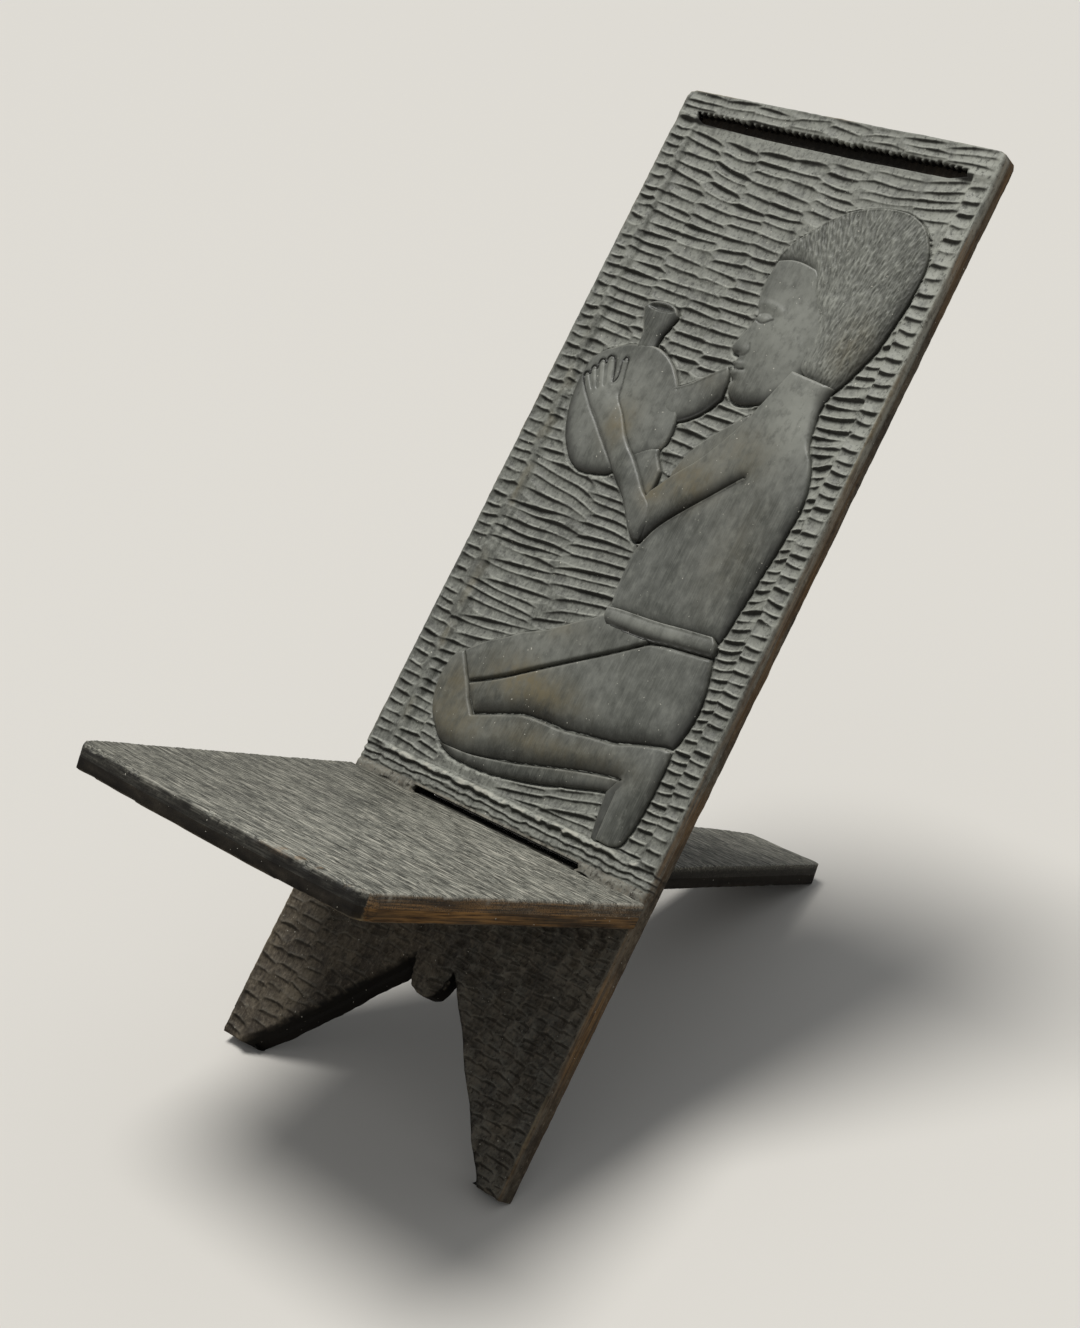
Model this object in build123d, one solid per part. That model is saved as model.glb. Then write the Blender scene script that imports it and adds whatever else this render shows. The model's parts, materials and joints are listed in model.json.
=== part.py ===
"""Two-plank birthing chair: a leaning back plank and a seat plank whose tongue passes through it.

Nothing but the shape of the two planks holds the chair together. The back plank stands on two
pointed legs and leans back. The seat plank's tongue goes in through a slot above the legs, runs
on behind the back plank and rests on the floor, and the two shoulders beside the tongue bear on
the back plank's front face. Weight on the seat wedges the tongue across the slot.

Millimetres, +Z up, front of the chair towards -Y. The origin is the centre of the base of the
chair's bounding box.
"""

from build123d import *

import os
from math import asin, atan2, cos, hypot, radians, sin, tan

# Back plank
BACK_LENGTH = 892.0  # along the lean, foot to top
BACK_WIDTH = 320.0  # across the top
BACK_FOOT_WIDTH = 316.0  # over the outsides of the feet
BACK_THICKNESS = 21.0
BACK_LEAN = 39.1  # degrees from upright
BACK_CORNER_RADIUS = 7.0  # the two top corners

# Legs: an upside-down V cut out of the plank, with a small tab left hanging at its middle
FOOT_WIDTH = 21.0  # each foot, where it meets the floor
CROTCH_HEIGHT = 133.0  # top of the V, along the plank
CROTCH_WIDTH = 42.0  # across the top of the V, which is the tab's root
CROTCH_OFFSET = 7.0  # the V was cut this far off centre
TAB_LENGTH = 28.0  # how far the tab hangs below the top of the V
TAB_END_WIDTH = 24.0
TAB_END_RADIUS = 9.0

# Sunken field for the carving, inside plain borders
FIELD_WIDTH = 272.0
FIELD_BOTTOM = 274.0  # lower rim, along the plank
TOP_BORDER = 26.0
FIELD_DEPTH = 4.0
FIELD_CORNER_RADIUS = 5.0

# Seat plank
SEAT_HEIGHT = 246.0  # where the seat's top meets the back plank, along the plank
SEAT_LENGTH = 303.0  # shoulders to the front corners
SEAT_REAR_WIDTH = 325.0
SEAT_FRONT_WIDTH = 309.0
SEAT_THICKNESS = 21.3
SEAT_CORNER_RADIUS = 9.0  # the two front corners
FRONT_BOW = 5.0  # how far the front edge bulges at its middle
TONGUE_LENGTH = 442.0  # shoulders to tail end
TONGUE_ROOT_WIDTH = 174.0
TONGUE_END_WIDTH = 82.0
TONGUE_CORNER_RADIUS = 6.0

# Fits and finish
SLOT_PLAY = 0.3  # tongue to the slot's upper and lower edges
SLOT_END_PLAY = 1.5  # tongue's root to each end of the slot
SHOULDER_PLAY = 0.2  # shoulders to the back plank
GOUGE_RADIUS = 3.5  # round gouge in each upper corner of the slot
EDGE_EASING = 1.5  # worn arrises
SHOULDER_EASING = 6.0  # rounding under each shoulder
WEAR = 1.5  # worn off the feet and the tail where they stand on the floor

lean = radians(BACK_LEAN)

# The seat slopes so that the lower corner of the tongue's end meets the floor.
root_height = BACK_THICKNESS * sin(lean) + SEAT_HEIGHT * cos(lean)
tail_reach = hypot(TONGUE_LENGTH, SEAT_THICKNESS)
slope = asin(root_height / tail_reach) - atan2(SEAT_THICKNESS, TONGUE_LENGTH)

# The tongue crosses the back plank at this angle from square.
crossing = lean - slope

# Front face of the back plank: x across, y up the plank, z out of its face.
back_face = Plane(
    origin=(0, -BACK_THICKNESS * cos(lean), BACK_THICKNESS * sin(lean)),
    x_dir=(1, 0, 0),
    z_dir=(0, -cos(lean), sin(lean)),
)

# Top of the seat plank: x across, y back and down along the tongue, z out of the seat.
seat_top = Plane(
    origin=back_face.from_local_coords((0, SEAT_HEIGHT, 0)),
    x_dir=(1, 0, 0),
    z_dir=(0, sin(slope), cos(slope)),
)


def leg_gap():
    """The V between the legs, less the tab that hangs in it, as seen from the front."""
    inner_foot = BACK_FOOT_WIDTH / 2 - FOOT_WIDTH
    left, right = CROTCH_OFFSET - CROTCH_WIDTH / 2, CROTCH_OFFSET + CROTCH_WIDTH / 2
    gap = Polygon(
        (-inner_foot, 0),
        (inner_foot, 0),
        (right, CROTCH_HEIGHT),
        (left, CROTCH_HEIGHT),
        align=None,
    )
    tab_end = CROTCH_HEIGHT - TAB_LENGTH
    tab = Polygon(
        (CROTCH_OFFSET - TAB_END_WIDTH / 2, tab_end),
        (CROTCH_OFFSET + TAB_END_WIDTH / 2, tab_end),
        (right, CROTCH_HEIGHT),
        (left, CROTCH_HEIGHT),
        align=None,
    )
    tab = fillet(tab.vertices().group_by(Axis.Y)[0], TAB_END_RADIUS)
    return gap - tab


def slot():
    """Slot for the tongue, as seen from the front, tall enough for the tongue to cross it."""
    half_width = TONGUE_ROOT_WIDTH / 2 + SLOT_END_PLAY
    bottom = SEAT_HEIGHT - SEAT_THICKNESS / cos(crossing) - SLOT_PLAY
    top = SEAT_HEIGHT + BACK_THICKNESS * tan(crossing) + SLOT_PLAY
    opening = Pos(0, (bottom + top) / 2) * Rectangle(2 * half_width, top - bottom)
    for side in (-1, 1):
        corner = Pos(side * (half_width - GOUGE_RADIUS / 2), top - GOUGE_RADIUS)
        opening += corner * Circle(GOUGE_RADIUS)
    return opening


def face_edges(solid, face_plane, thickness):
    """The edges that outline a plank's two broad faces."""

    def on_broad_face(edge):
        depth = face_plane.to_local_coords(edge.center()).Z
        return min(abs(depth), abs(depth + thickness)) < thickness / 100

    return solid.edges().filter_by(on_broad_face)


def make_back_plank():
    """Leaning plank with pointed legs, tab, slot and sunken field."""
    outline = Polygon(
        (-BACK_FOOT_WIDTH / 2, 0),
        (BACK_FOOT_WIDTH / 2, 0),
        (BACK_WIDTH / 2, BACK_LENGTH),
        (-BACK_WIDTH / 2, BACK_LENGTH),
        align=None,
    )
    outline = fillet(outline.vertices().group_by(Axis.Y)[-1], BACK_CORNER_RADIUS)
    plank = extrude(back_face * (outline - leg_gap()), -BACK_THICKNESS)
    plank = fillet(face_edges(plank, back_face, BACK_THICKNESS), EDGE_EASING)

    field_height = BACK_LENGTH - TOP_BORDER - FIELD_BOTTOM
    field = Pos(0, FIELD_BOTTOM + field_height / 2) * RectangleRounded(
        FIELD_WIDTH, field_height, FIELD_CORNER_RADIUS
    )
    plank -= extrude(back_face * slot(), -BACK_THICKNESS)
    plank -= extrude(back_face * field, -FIELD_DEPTH)
    return plank


def seat_outline():
    """Seat board seen from above: wider at the back, with a bowed front edge."""
    front = -SEAT_LENGTH
    left_front, right_front = (-SEAT_FRONT_WIDTH / 2, front), (SEAT_FRONT_WIDTH / 2, front)
    left_rear, right_rear = (-SEAT_REAR_WIDTH / 2, 0), (SEAT_REAR_WIDTH / 2, 0)
    outline = make_face(
        [
            ThreePointArc(left_front, (0, front - FRONT_BOW), right_front),
            Line(right_front, right_rear),
            Line(right_rear, left_rear),
            Line(left_rear, left_front),
        ]
    )
    front_corners = outline.vertices().group_by(Axis.Y)[0]
    return fillet(front_corners, SEAT_CORNER_RADIUS)


def tongue_outline():
    """Tongue seen from above, from inside the seat board to its rounded end."""
    inside = -SEAT_LENGTH / 8
    outline = Polygon(
        (-TONGUE_ROOT_WIDTH / 2, inside),
        (TONGUE_ROOT_WIDTH / 2, inside),
        (TONGUE_ROOT_WIDTH / 2, 0),
        (TONGUE_END_WIDTH / 2, TONGUE_LENGTH),
        (-TONGUE_END_WIDTH / 2, TONGUE_LENGTH),
        (-TONGUE_ROOT_WIDTH / 2, 0),
        align=None,
    )
    end_corners = outline.vertices().group_by(Axis.Y)[-1]
    return fillet(end_corners, TONGUE_CORNER_RADIUS)


def make_seat_plank():
    """Seat board with bevelled shoulders, and the tapering tongue that goes on behind."""
    board = extrude(seat_top * seat_outline(), -SEAT_THICKNESS)

    # The shoulders are bevelled to lie flat on the back plank's front face.
    reach = 2 * SEAT_REAR_WIDTH
    shoulder_face = back_face.offset(SHOULDER_PLAY)
    board -= extrude(shoulder_face * Pos(0, SEAT_HEIGHT) * Rectangle(reach, reach), -reach)

    under_shoulder = board.edges().filter_by(Axis.X).sort_by(Axis.Z)[0]
    board = fillet(under_shoulder, SHOULDER_EASING)
    board = fillet(face_edges(board, seat_top, SEAT_THICKNESS), EDGE_EASING)

    tongue = extrude(seat_top * tongue_outline(), -SEAT_THICKNESS)
    tongue = fillet(face_edges(tongue, seat_top, SEAT_THICKNESS), EDGE_EASING)
    return board + tongue


def stand(planks):
    """Wears the planks flat where they meet the floor, and centres them over the origin."""
    worn_away = Pos(0, 0, WEAR) * Box(
        3 * BACK_LENGTH, 3 * BACK_LENGTH, BACK_LENGTH, align=(Align.CENTER, Align.CENTER, Align.MAX)
    )
    planks = [plank - worn_away for plank in planks]
    box = Compound(planks).bounding_box()
    shift = Pos(-box.center().X, -box.center().Y, -box.min.Z)
    return [shift * plank for plank in planks]


back_plank, seat_plank = stand([make_back_plank(), make_seat_plank()])

os.makedirs("parts", exist_ok=True)
export_step(back_plank, "parts/back_plank.step")
export_step(seat_plank, "parts/seat_plank.step")
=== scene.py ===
"""The looks of an African birthing chair: two planks of ebonised hardwood, carved by hand.

The back plank's face is cut in three strips over a slab that is its back, and the kneeling figure
stands on it as separate carved forms. The seat plank is an upper and an under half.

A plank is worked in its own terms, in millimetres: x across it, y along it and h out of its face,
with 0 on the flat of the plank and less than 0 inside the wood. place() takes a finished form to
the chair's frame, in metres.
"""

import json
import math

import bmesh
import bpy
import numpy as np
from mathutils import Matrix, Vector


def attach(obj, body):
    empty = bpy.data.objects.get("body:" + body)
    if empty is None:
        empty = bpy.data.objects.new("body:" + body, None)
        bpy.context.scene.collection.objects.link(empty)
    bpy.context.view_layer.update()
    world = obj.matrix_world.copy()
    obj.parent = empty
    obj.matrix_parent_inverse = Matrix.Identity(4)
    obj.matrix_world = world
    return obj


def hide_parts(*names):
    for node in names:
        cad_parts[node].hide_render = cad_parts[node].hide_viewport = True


MM = 0.001

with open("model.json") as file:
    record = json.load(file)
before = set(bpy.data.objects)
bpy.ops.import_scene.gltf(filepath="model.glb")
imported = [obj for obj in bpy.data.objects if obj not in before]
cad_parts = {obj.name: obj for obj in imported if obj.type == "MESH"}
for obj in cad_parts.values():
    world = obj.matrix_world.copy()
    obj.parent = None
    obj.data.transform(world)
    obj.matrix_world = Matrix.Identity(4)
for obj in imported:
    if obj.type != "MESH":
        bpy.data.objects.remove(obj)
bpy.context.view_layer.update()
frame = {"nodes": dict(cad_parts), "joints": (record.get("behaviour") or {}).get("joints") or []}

# ---------------------------------------------------------------- camera

CAMERA_PLACE = (1.1028, -1.2122, 1.1130)
CAMERA_AZIMUTH = math.radians(42.5911)
CAMERA_ELEVATION = math.radians(25.6866)
CAMERA_ROLL = math.radians(0.9429)
FOCAL_PIXELS = 2300
IMAGE_HEIGHT = 1328  # pixels
SENSOR = 36.0
CAMERA_REACH = 50  # metres


def make_camera():
    toward = Vector((
        math.sin(CAMERA_AZIMUTH) * math.cos(CAMERA_ELEVATION),
        -math.cos(CAMERA_AZIMUTH) * math.cos(CAMERA_ELEVATION),
        math.sin(CAMERA_ELEVATION),
    ))
    level = Vector((math.cos(CAMERA_AZIMUTH), math.sin(CAMERA_AZIMUTH), 0))
    upright = toward.cross(level)
    right = math.cos(CAMERA_ROLL) * level + math.sin(CAMERA_ROLL) * upright
    up = -math.sin(CAMERA_ROLL) * level + math.cos(CAMERA_ROLL) * upright
    data = bpy.data.cameras.new("camera")
    data.sensor_width = SENSOR
    data.lens = FOCAL_PIXELS / IMAGE_HEIGHT * SENSOR
    data.clip_end = CAMERA_REACH
    camera = bpy.data.objects.new("camera", data)
    turn = Matrix((right, up, toward)).transposed().to_4x4()
    camera.matrix_world = Matrix.Translation(CAMERA_PLACE) @ turn
    bpy.context.scene.collection.objects.link(camera)
    bpy.context.scene.camera = camera


make_camera()

# ---------------------------------------------------------------- the planks' own directions

BACK_LEAN = math.radians(39.1)
BACK_LENGTH = 892.0
BACK_WIDTH = 320.0
BACK_FOOT_WIDTH = 316.0
BACK_THICKNESS = 21.0
SEAT_THICKNESS = 21.3
TONGUE_LENGTH = 442.0


def plank_frame(node, along, thickness, far_end):
    """A plank's origin and its x, y and h directions, measured on its CAD node."""
    across = np.array([1.0, 0, 0])
    along = np.array(along, float)
    out = np.cross(across, along)
    points = np.array([v.co[:] for v in frame["nodes"][node].data.vertices]) / MM
    start = (points @ along).max() - far_end
    face = (points @ out).min() + thickness
    return start * along + face * out, np.array([across, along, out])


BACK = plank_frame(
    "back_plank", (0, math.sin(BACK_LEAN), math.cos(BACK_LEAN)), BACK_THICKNESS, BACK_LENGTH
)
draw_direction = np.array(frame["joints"][0]["axis"], float)
SEAT = plank_frame("seat_plank", -draw_direction, SEAT_THICKNESS, TONGUE_LENGTH)


def side_at(y):
    """How far from its middle the back plank's side is, at a height along the plank."""
    return BACK_FOOT_WIDTH / 2 + (BACK_WIDTH - BACK_FOOT_WIDTH) / 2 * y / BACK_LENGTH


# ---------------------------------------------------------------- lines and unevenness

LUMPS_ACROSS, LUMPS_ALONG = 61, 67  # the unevenness repeats after this many lumps


def unevenness(points, size, seed):
    """Smooth random values from -1 to 1. size is a lump's width, or its width and length."""
    table = np.random.default_rng(seed).uniform(-1, 1, (LUMPS_ACROSS, LUMPS_ALONG))
    spot = points / size
    whole = np.floor(spot).astype(int)
    part = spot - whole
    part = part * part * (3 - 2 * part)
    (i, j), (u, v) = whole.T, part.T
    i, next_i = i % LUMPS_ACROSS, (i + 1) % LUMPS_ACROSS
    j, next_j = j % LUMPS_ALONG, (j + 1) % LUMPS_ALONG
    near = table[i, j] * (1 - u) + table[next_i, j] * u
    far = table[i, next_j] * (1 - u) + table[next_i, next_j] * u
    return near * (1 - v) + far * v


def ramp(value, low, high):
    """0 below low, 1 above high, and a smooth rise between them."""
    t = np.clip((value - low) / (high - low), 0, 1)
    return t * t * (3 - 2 * t)


def stroke(points, step):
    """Points about step apart on a smooth line through the given ones, without the last of them.
    A stroke that ends where it starts is smooth there too."""
    p = np.array(points, float)
    closed = np.allclose(p[0], p[-1])
    before = p[-2] if closed else 2 * p[0] - p[1]
    after = p[1] if closed else 2 * p[-1] - p[-2]
    p = np.vstack([before, p, after])
    made = []
    for a, b, c, d in zip(p, p[1:], p[2:], p[3:]):
        count = max(1, math.ceil(np.hypot(*(c - b)) / step))
        t = (np.arange(count) / count)[:, None]
        bend = (c - a) * t + (2 * a - 5 * b + 4 * c - d) * t**2 + (3 * b - a - 3 * c + d) * t**3
        made.append(b + bend / 2)
    return np.vstack(made)


def outline(*strokes, step=2.0):
    """A closed line made of strokes that meet at corners."""
    return np.vstack([stroke(s, step) for s in strokes])


def corners(*strokes):
    return [s[0] for s in strokes] if len(strokes) > 1 else []


def inside(points, line):
    x, y = points.T
    within = np.zeros(len(points), bool)
    for (ax, ay), (bx, by) in zip(line, np.roll(line, -1, 0)):
        if ay != by:
            level = (ay > y) != (by > y)
            within ^= level & (x < ax + (y - ay) * (bx - ax) / (by - ay))
    return within


def nearest(points, line, closed=True, reach=None):
    """How far a line is from each point, and the place on it: 2.5 is midway from its point 2 to
    its point 3. Given a reach at each of the line's points, how far as a share of that reach."""
    best = np.full(len(points), np.inf)
    place = np.zeros(len(points))
    runs = np.roll(line, -1, 0) - line
    for i in range(len(line) if closed else len(line) - 1):
        away = points - line[i]
        t = np.clip(away @ runs[i] / max(runs[i] @ runs[i], 1e-9), 0, 1)
        far = ((away - t[:, None] * runs[i]) ** 2).sum(1)
        if reach is not None:
            far /= (reach[i] * (1 - t) + reach[(i + 1) % len(line)] * t) ** 2
        nearer = far < best
        best[nearer] = far[nearer]
        place[nearer] = i + t[nearer]
    return np.sqrt(best), place


def distance(points, line, closed=True):
    """How far a line is from each point, across and along the plank."""
    return nearest(points[:, :2], line, closed)[0]


def at_place(values, place):
    """What is at a place on a line, from what is at each of the line's points."""
    i = np.floor(place).astype(int)
    t = (place - i).reshape(-1, *[1] * (values.ndim - 1))
    return values[i % len(values)] * (1 - t) + values[(i + 1) % len(values)] * t


# ---------------------------------------------------------------- cutting forms out of sheets

CORNER_REACH = 1.5  # in cells: how near a sharp corner a rim point is moved onto it
SLIVER = 0.02  # edges shorter than this are merged away


def trimmed_grid(lines, cell, low=None, high=None, sharp=()):
    """A flat grid cut to the outline in lines[0] less the openings in the rest. Its rim lies on
    those lines, and has a point on each sharp corner."""
    low = lines[0].min(0) if low is None else np.array(low, float)
    high = lines[0].max(0) if high is None else np.array(high, float)
    columns, rows = np.maximum(2, np.round((high - low) / cell)).astype(int)
    spread = Matrix.Translation((*((low + high) / 2), 0)) @ Matrix.Diagonal(
        (*((high - low) / 2), 1, 1)
    )
    bm = bmesh.new()
    bmesh.ops.create_grid(
        bm, x_segments=int(columns), y_segments=int(rows), size=1, matrix=spread
    )
    middles = np.array([f.calc_center_median()[:2] for f in bm.faces])
    keep = inside(middles, lines[0])
    for opening in lines[1:]:
        keep &= ~inside(middles, opening)
    waste = [f for f, kept in zip(bm.faces, keep) if not kept]
    while waste:
        bmesh.ops.delete(bm, geom=waste, context="FACES")
        teeth = [f for f in bm.faces if sum(e.is_boundary for e in f.edges) > 2]
        rim = [v for v in bm.verts if v.is_boundary]
        pinches = [v for v in rim if sum(e.is_boundary for e in v.link_edges) > 2]
        waste = list(dict.fromkeys([*teeth, *(v.link_faces[0] for v in pinches)]))
    rim = [v for v in bm.verts if v.is_boundary]
    at = np.array([v.co[:2] for v in rim])
    reach = np.full(len(rim), np.inf)
    spots = at.copy()
    for line in lines:
        far, where = nearest(at, line)
        nearer = far < reach
        reach[nearer] = far[nearer]
        spots[nearer] = at_place(line, where)[nearer]
    for corner in sharp:
        far = np.hypot(*(at - corner).T)
        if far.min() < CORNER_REACH * max(cell):
            spots[far.argmin()] = corner
    for v, spot in zip(rim, spots):
        v.co.x, v.co.y = spot
    bmesh.ops.dissolve_degenerate(bm, edges=bm.edges, dist=SLIVER)
    beside = [
        v for v in bm.verts
        if not v.is_boundary and any(e.other_vert(v).is_boundary for e in v.link_edges)
    ]
    for _ in range(3):
        bmesh.ops.smooth_vert(
            bm, verts=beside, factor=0.5, use_axis_x=True, use_axis_y=True, use_axis_z=False
        )
    return bm


def flat_points(bm):
    return np.array([v.co[:2] for v in bm.verts])


def set_heights(bm, heights):
    for v, h in zip(bm.verts, heights):
        v.co.z = h


def close_below(bm, floor, steps=1):
    """Walls from the rim to the floor level, and a floor across."""
    rim = [e for e in bm.edges if e.is_boundary]
    for left in range(steps, 0, -1):
        made = bmesh.ops.extrude_edge_only(bm, edges=rim)["geom"]
        for v in made:
            if isinstance(v, bmesh.types.BMVert):
                v.co.z += (floor - v.co.z) / left
        rim = [e for e in made if isinstance(e, bmesh.types.BMEdge) and e.is_boundary]
    bmesh.ops.triangle_fill(bm, edges=rim, use_beauty=True)
    loose = [e for e in bm.edges if not e.link_faces]
    bmesh.ops.delete(bm, geom=loose, context="EDGES")


def place(bm, name, plank, body, slot, finish, marks=None, sharp=62):
    """Makes the piece in the chair's frame. marks are the wear, painted shade and painted light
    that its finish reads, each a function of the points in the plank's terms. Edges that turn by
    more than sharp degrees look sharp."""
    bmesh.ops.recalc_face_normals(bm, faces=bm.faces)
    if bm.calc_volume(signed=True) < 0:
        bmesh.ops.reverse_faces(bm, faces=bm.faces)
    mesh = bpy.data.meshes.new(name)
    bm.to_mesh(mesh)
    bm.free()
    points = np.zeros(len(mesh.vertices) * 3)
    mesh.vertices.foreach_get("co", points)
    points = points.reshape(-1, 3)
    for mark, values in (marks or {}).items():
        layer = mesh.attributes.new(mark, "FLOAT", "POINT")
        layer.data.foreach_set("value", np.clip(values(points), 0, 1).astype(np.float32))
    origin, axes = plank
    placed = (origin + points @ axes) * MM
    placed[:, 2] = np.maximum(placed[:, 2], 0)  # the feet and the tail are worn flat on the floor
    mesh.vertices.foreach_set("co", placed.ravel())
    mesh.polygons.foreach_set("use_smooth", np.ones(len(mesh.polygons), bool))
    mesh.set_sharp_from_angle(angle=math.radians(sharp))
    mesh.update()
    piece = bpy.data.objects.new(name, mesh)
    bpy.context.scene.collection.objects.link(piece)
    mesh.materials.append(finish)
    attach(piece, body)
    return piece


# ---------------------------------------------------------------- gouge work

MAP_STEP = 0.5
GOUGE_TIP = 2.2  # above 2 makes a cut's ends blunter than an ellipse's
STRAY_ACROSS, STRAY_ALONG = 2, 3  # room round a cut for where the tool strays


def blank_map(low, high, waver=0.0):
    """A map of heights: its lowest corner, a table of rows of heights, all 0, and a table of how
    far the tool strays up or down there."""
    low, high = np.array(low, float), np.array(high, float)
    columns, rows = ((high - low) / MAP_STEP).astype(int) + 1
    relief = low, np.zeros((rows, columns)), np.zeros((rows, columns))
    if waver:
        relief[2][:] = (waver * unevenness(map_points(relief), 27, 2)).reshape(rows, columns)
    return relief


def map_points(relief):
    low, heights = relief[:2]
    rows, columns = heights.shape
    x, y = np.meshgrid(low[0] + MAP_STEP * np.arange(columns), low[1] + MAP_STEP * np.arange(rows))
    return np.stack([x.ravel(), y.ravel()], 1)


def read_map(relief, points):
    low, heights = relief[:2]
    spot = (points[:, :2] - low) / MAP_STEP
    i = np.clip(np.floor(spot).astype(int), 0, np.array(heights.shape[::-1]) - 2)
    u, v = np.clip(spot - i, 0, 1).T
    c, r = i.T
    near = heights[r, c] * (1 - u) + heights[r, c + 1] * u
    far = heights[r + 1, c] * (1 - u) + heights[r + 1, c + 1] * u
    return near * (1 - v) + far * v


def gouge(relief, x, y, length, angle, rise, fall, depth, bow=0.0):
    """One gouge cut: steep for rise mm on its upper side, and shallow for fall mm below."""
    low, heights, stray = relief
    half, wide = length / 2, rise + fall
    reach = np.array([
        abs(half * math.cos(angle)) + abs(wide * math.sin(angle)) + STRAY_ACROSS,
        abs(half * math.sin(angle)) + abs(wide * math.cos(angle)) + STRAY_ALONG,
    ])
    first = np.maximum(np.floor(((x, y) - reach - low) / MAP_STEP).astype(int), 0)
    last = np.minimum(
        np.ceil(((x, y) + reach - low) / MAP_STEP).astype(int), heights.shape[::-1]
    )
    if (last <= first).any():
        return
    c, r = (np.arange(a, b) for a, b in zip(first, last))
    across, up = np.meshgrid(low[0] + MAP_STEP * c - x, low[1] + MAP_STEP * r - y)
    u = across * math.cos(angle) + up * math.sin(angle)
    window = heights[r[0]:r[-1] + 1, c[0]:c[-1] + 1]
    v = up * math.cos(angle) - across * math.sin(angle) - bow * (u / half) ** 2
    v -= stray[r[0]:r[-1] + 1, c[0]:c[-1] + 1]
    side = np.where(v > 0, v / rise, -v / fall)
    bowl = depth * (side**2 + (np.abs(u) / half) ** GOUGE_TIP - 1)
    np.minimum(window, bowl, out=window)


def along(table, y):
    """The value at y in a table of (y, value), or the number itself."""
    if isinstance(table, (int, float)):
        return table
    ys, values = zip(*table)
    return float(np.interp(y, ys, values))


# A cut's steep and shallow sides, as shares of the gap from one cut to the next. They add up to
# more than the gap, so that neighbours run into each other, and so are their ends.
STEEP_SHARE, SHALLOW_SHARE = 0.41, 0.79
END_OVERLAP = 1.14
DEPTH_BELOW_CREST = 1.75  # how deep a cut is sunk for each mm that stays below the crests


def gouge_column(
    relief, chance, left, right, bottom, top, pitch, slope=0, depth=1.7, bow=0, waver=1.0
):
    """Cuts one above another between two uprights, each as long as the column is wide. waver is
    how much they differ in place, length and slope."""
    y = top - chance.uniform(0, 1) * along(pitch, top)
    while y > bottom:
        gap = along(pitch, y) * chance.uniform(0.82, 1.18)
        a, b = along(left, y), along(right, y)
        aside, longer, turned, deeper = chance.normal(0, 1, 4)
        gouge(
            relief,
            (a + b) / 2 + 0.07 * (b - a) * waver * aside,
            y,
            (b - a) * (END_OVERLAP + 0.06 * waver * longer),
            math.radians(along(slope, y) + 2.4 * waver * turned),
            STEEP_SHARE * gap,
            SHALLOW_SHARE * gap,
            DEPTH_BELOW_CREST * along(depth, y) * (1 + 0.14 * deeper),
            bow * chance.uniform(0.3, 1.3),
        )
        y -= gap


# ---------------------------------------------------------------- finishes

PALETTE = {
    # near-black for painted shade, and for the seat's dark grain streaks
    "painted_shade_and_stain": "#14110d",
    "ground_dark": "#454540",
    "ground": "#63645d",
    "ground_light": "#97988e",
    "figure_dark": "#3d3e38",
    "figure": "#6a6b65",
    "figure_light": "#8c8d84",
    # pale grey for painted light and painted highlights, and for a worn ridge's grey
    "faded_and_painted_light": "#a6a79d",
    "leg_dark": "#352f28",
    "leg": "#645b4c",
    "leg_light": "#776e60",
    "seat_dark": "#383731",
    "seat": "#67665d",
    "seat_light": "#a8a595",
    "bare": "#9a7342",
    "bare_dark": "#4a341d",
    "worn": "#716850",
    # pale line on the figure's crisp upper edges: a painted highlight, with rubbed stain
    "rubbed_and_highlit_edge": "#a3a298",
    "rubbed_arris": "#8a7a5c",
    "score": "#c6c2b4",
    "speck": "#dcd8ca",
}


def linear(name):
    digits = PALETTE[name].lstrip("#")
    parts = [int(digits[i:i + 2], 16) / 255 for i in (0, 2, 4)]
    return (*[c / 12.92 if c <= 0.04045 else ((c + 0.055) / 1.055) ** 2.4 for c in parts], 1)


def node(tree, kind, inputs=None, **settings):
    """Adds a node with its settings. An input is a value, or the socket it is linked from."""
    made = tree.nodes.new(kind)
    for key, value in settings.items():
        setattr(made, key, value)
    for socket, value in (inputs or {}).items():
        if isinstance(value, bpy.types.NodeSocket):
            tree.links.new(value, made.inputs[socket])
        else:
            made.inputs[socket].default_value = value
    return made


BACK_TILT = BACK_LEAN - math.radians(90)
SEAT_TILT = math.atan2(draw_direction[2], -draw_direction[1])
WAX_IOR = 1.5
GRAIN_DEPTH = 0.4 * MM


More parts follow.
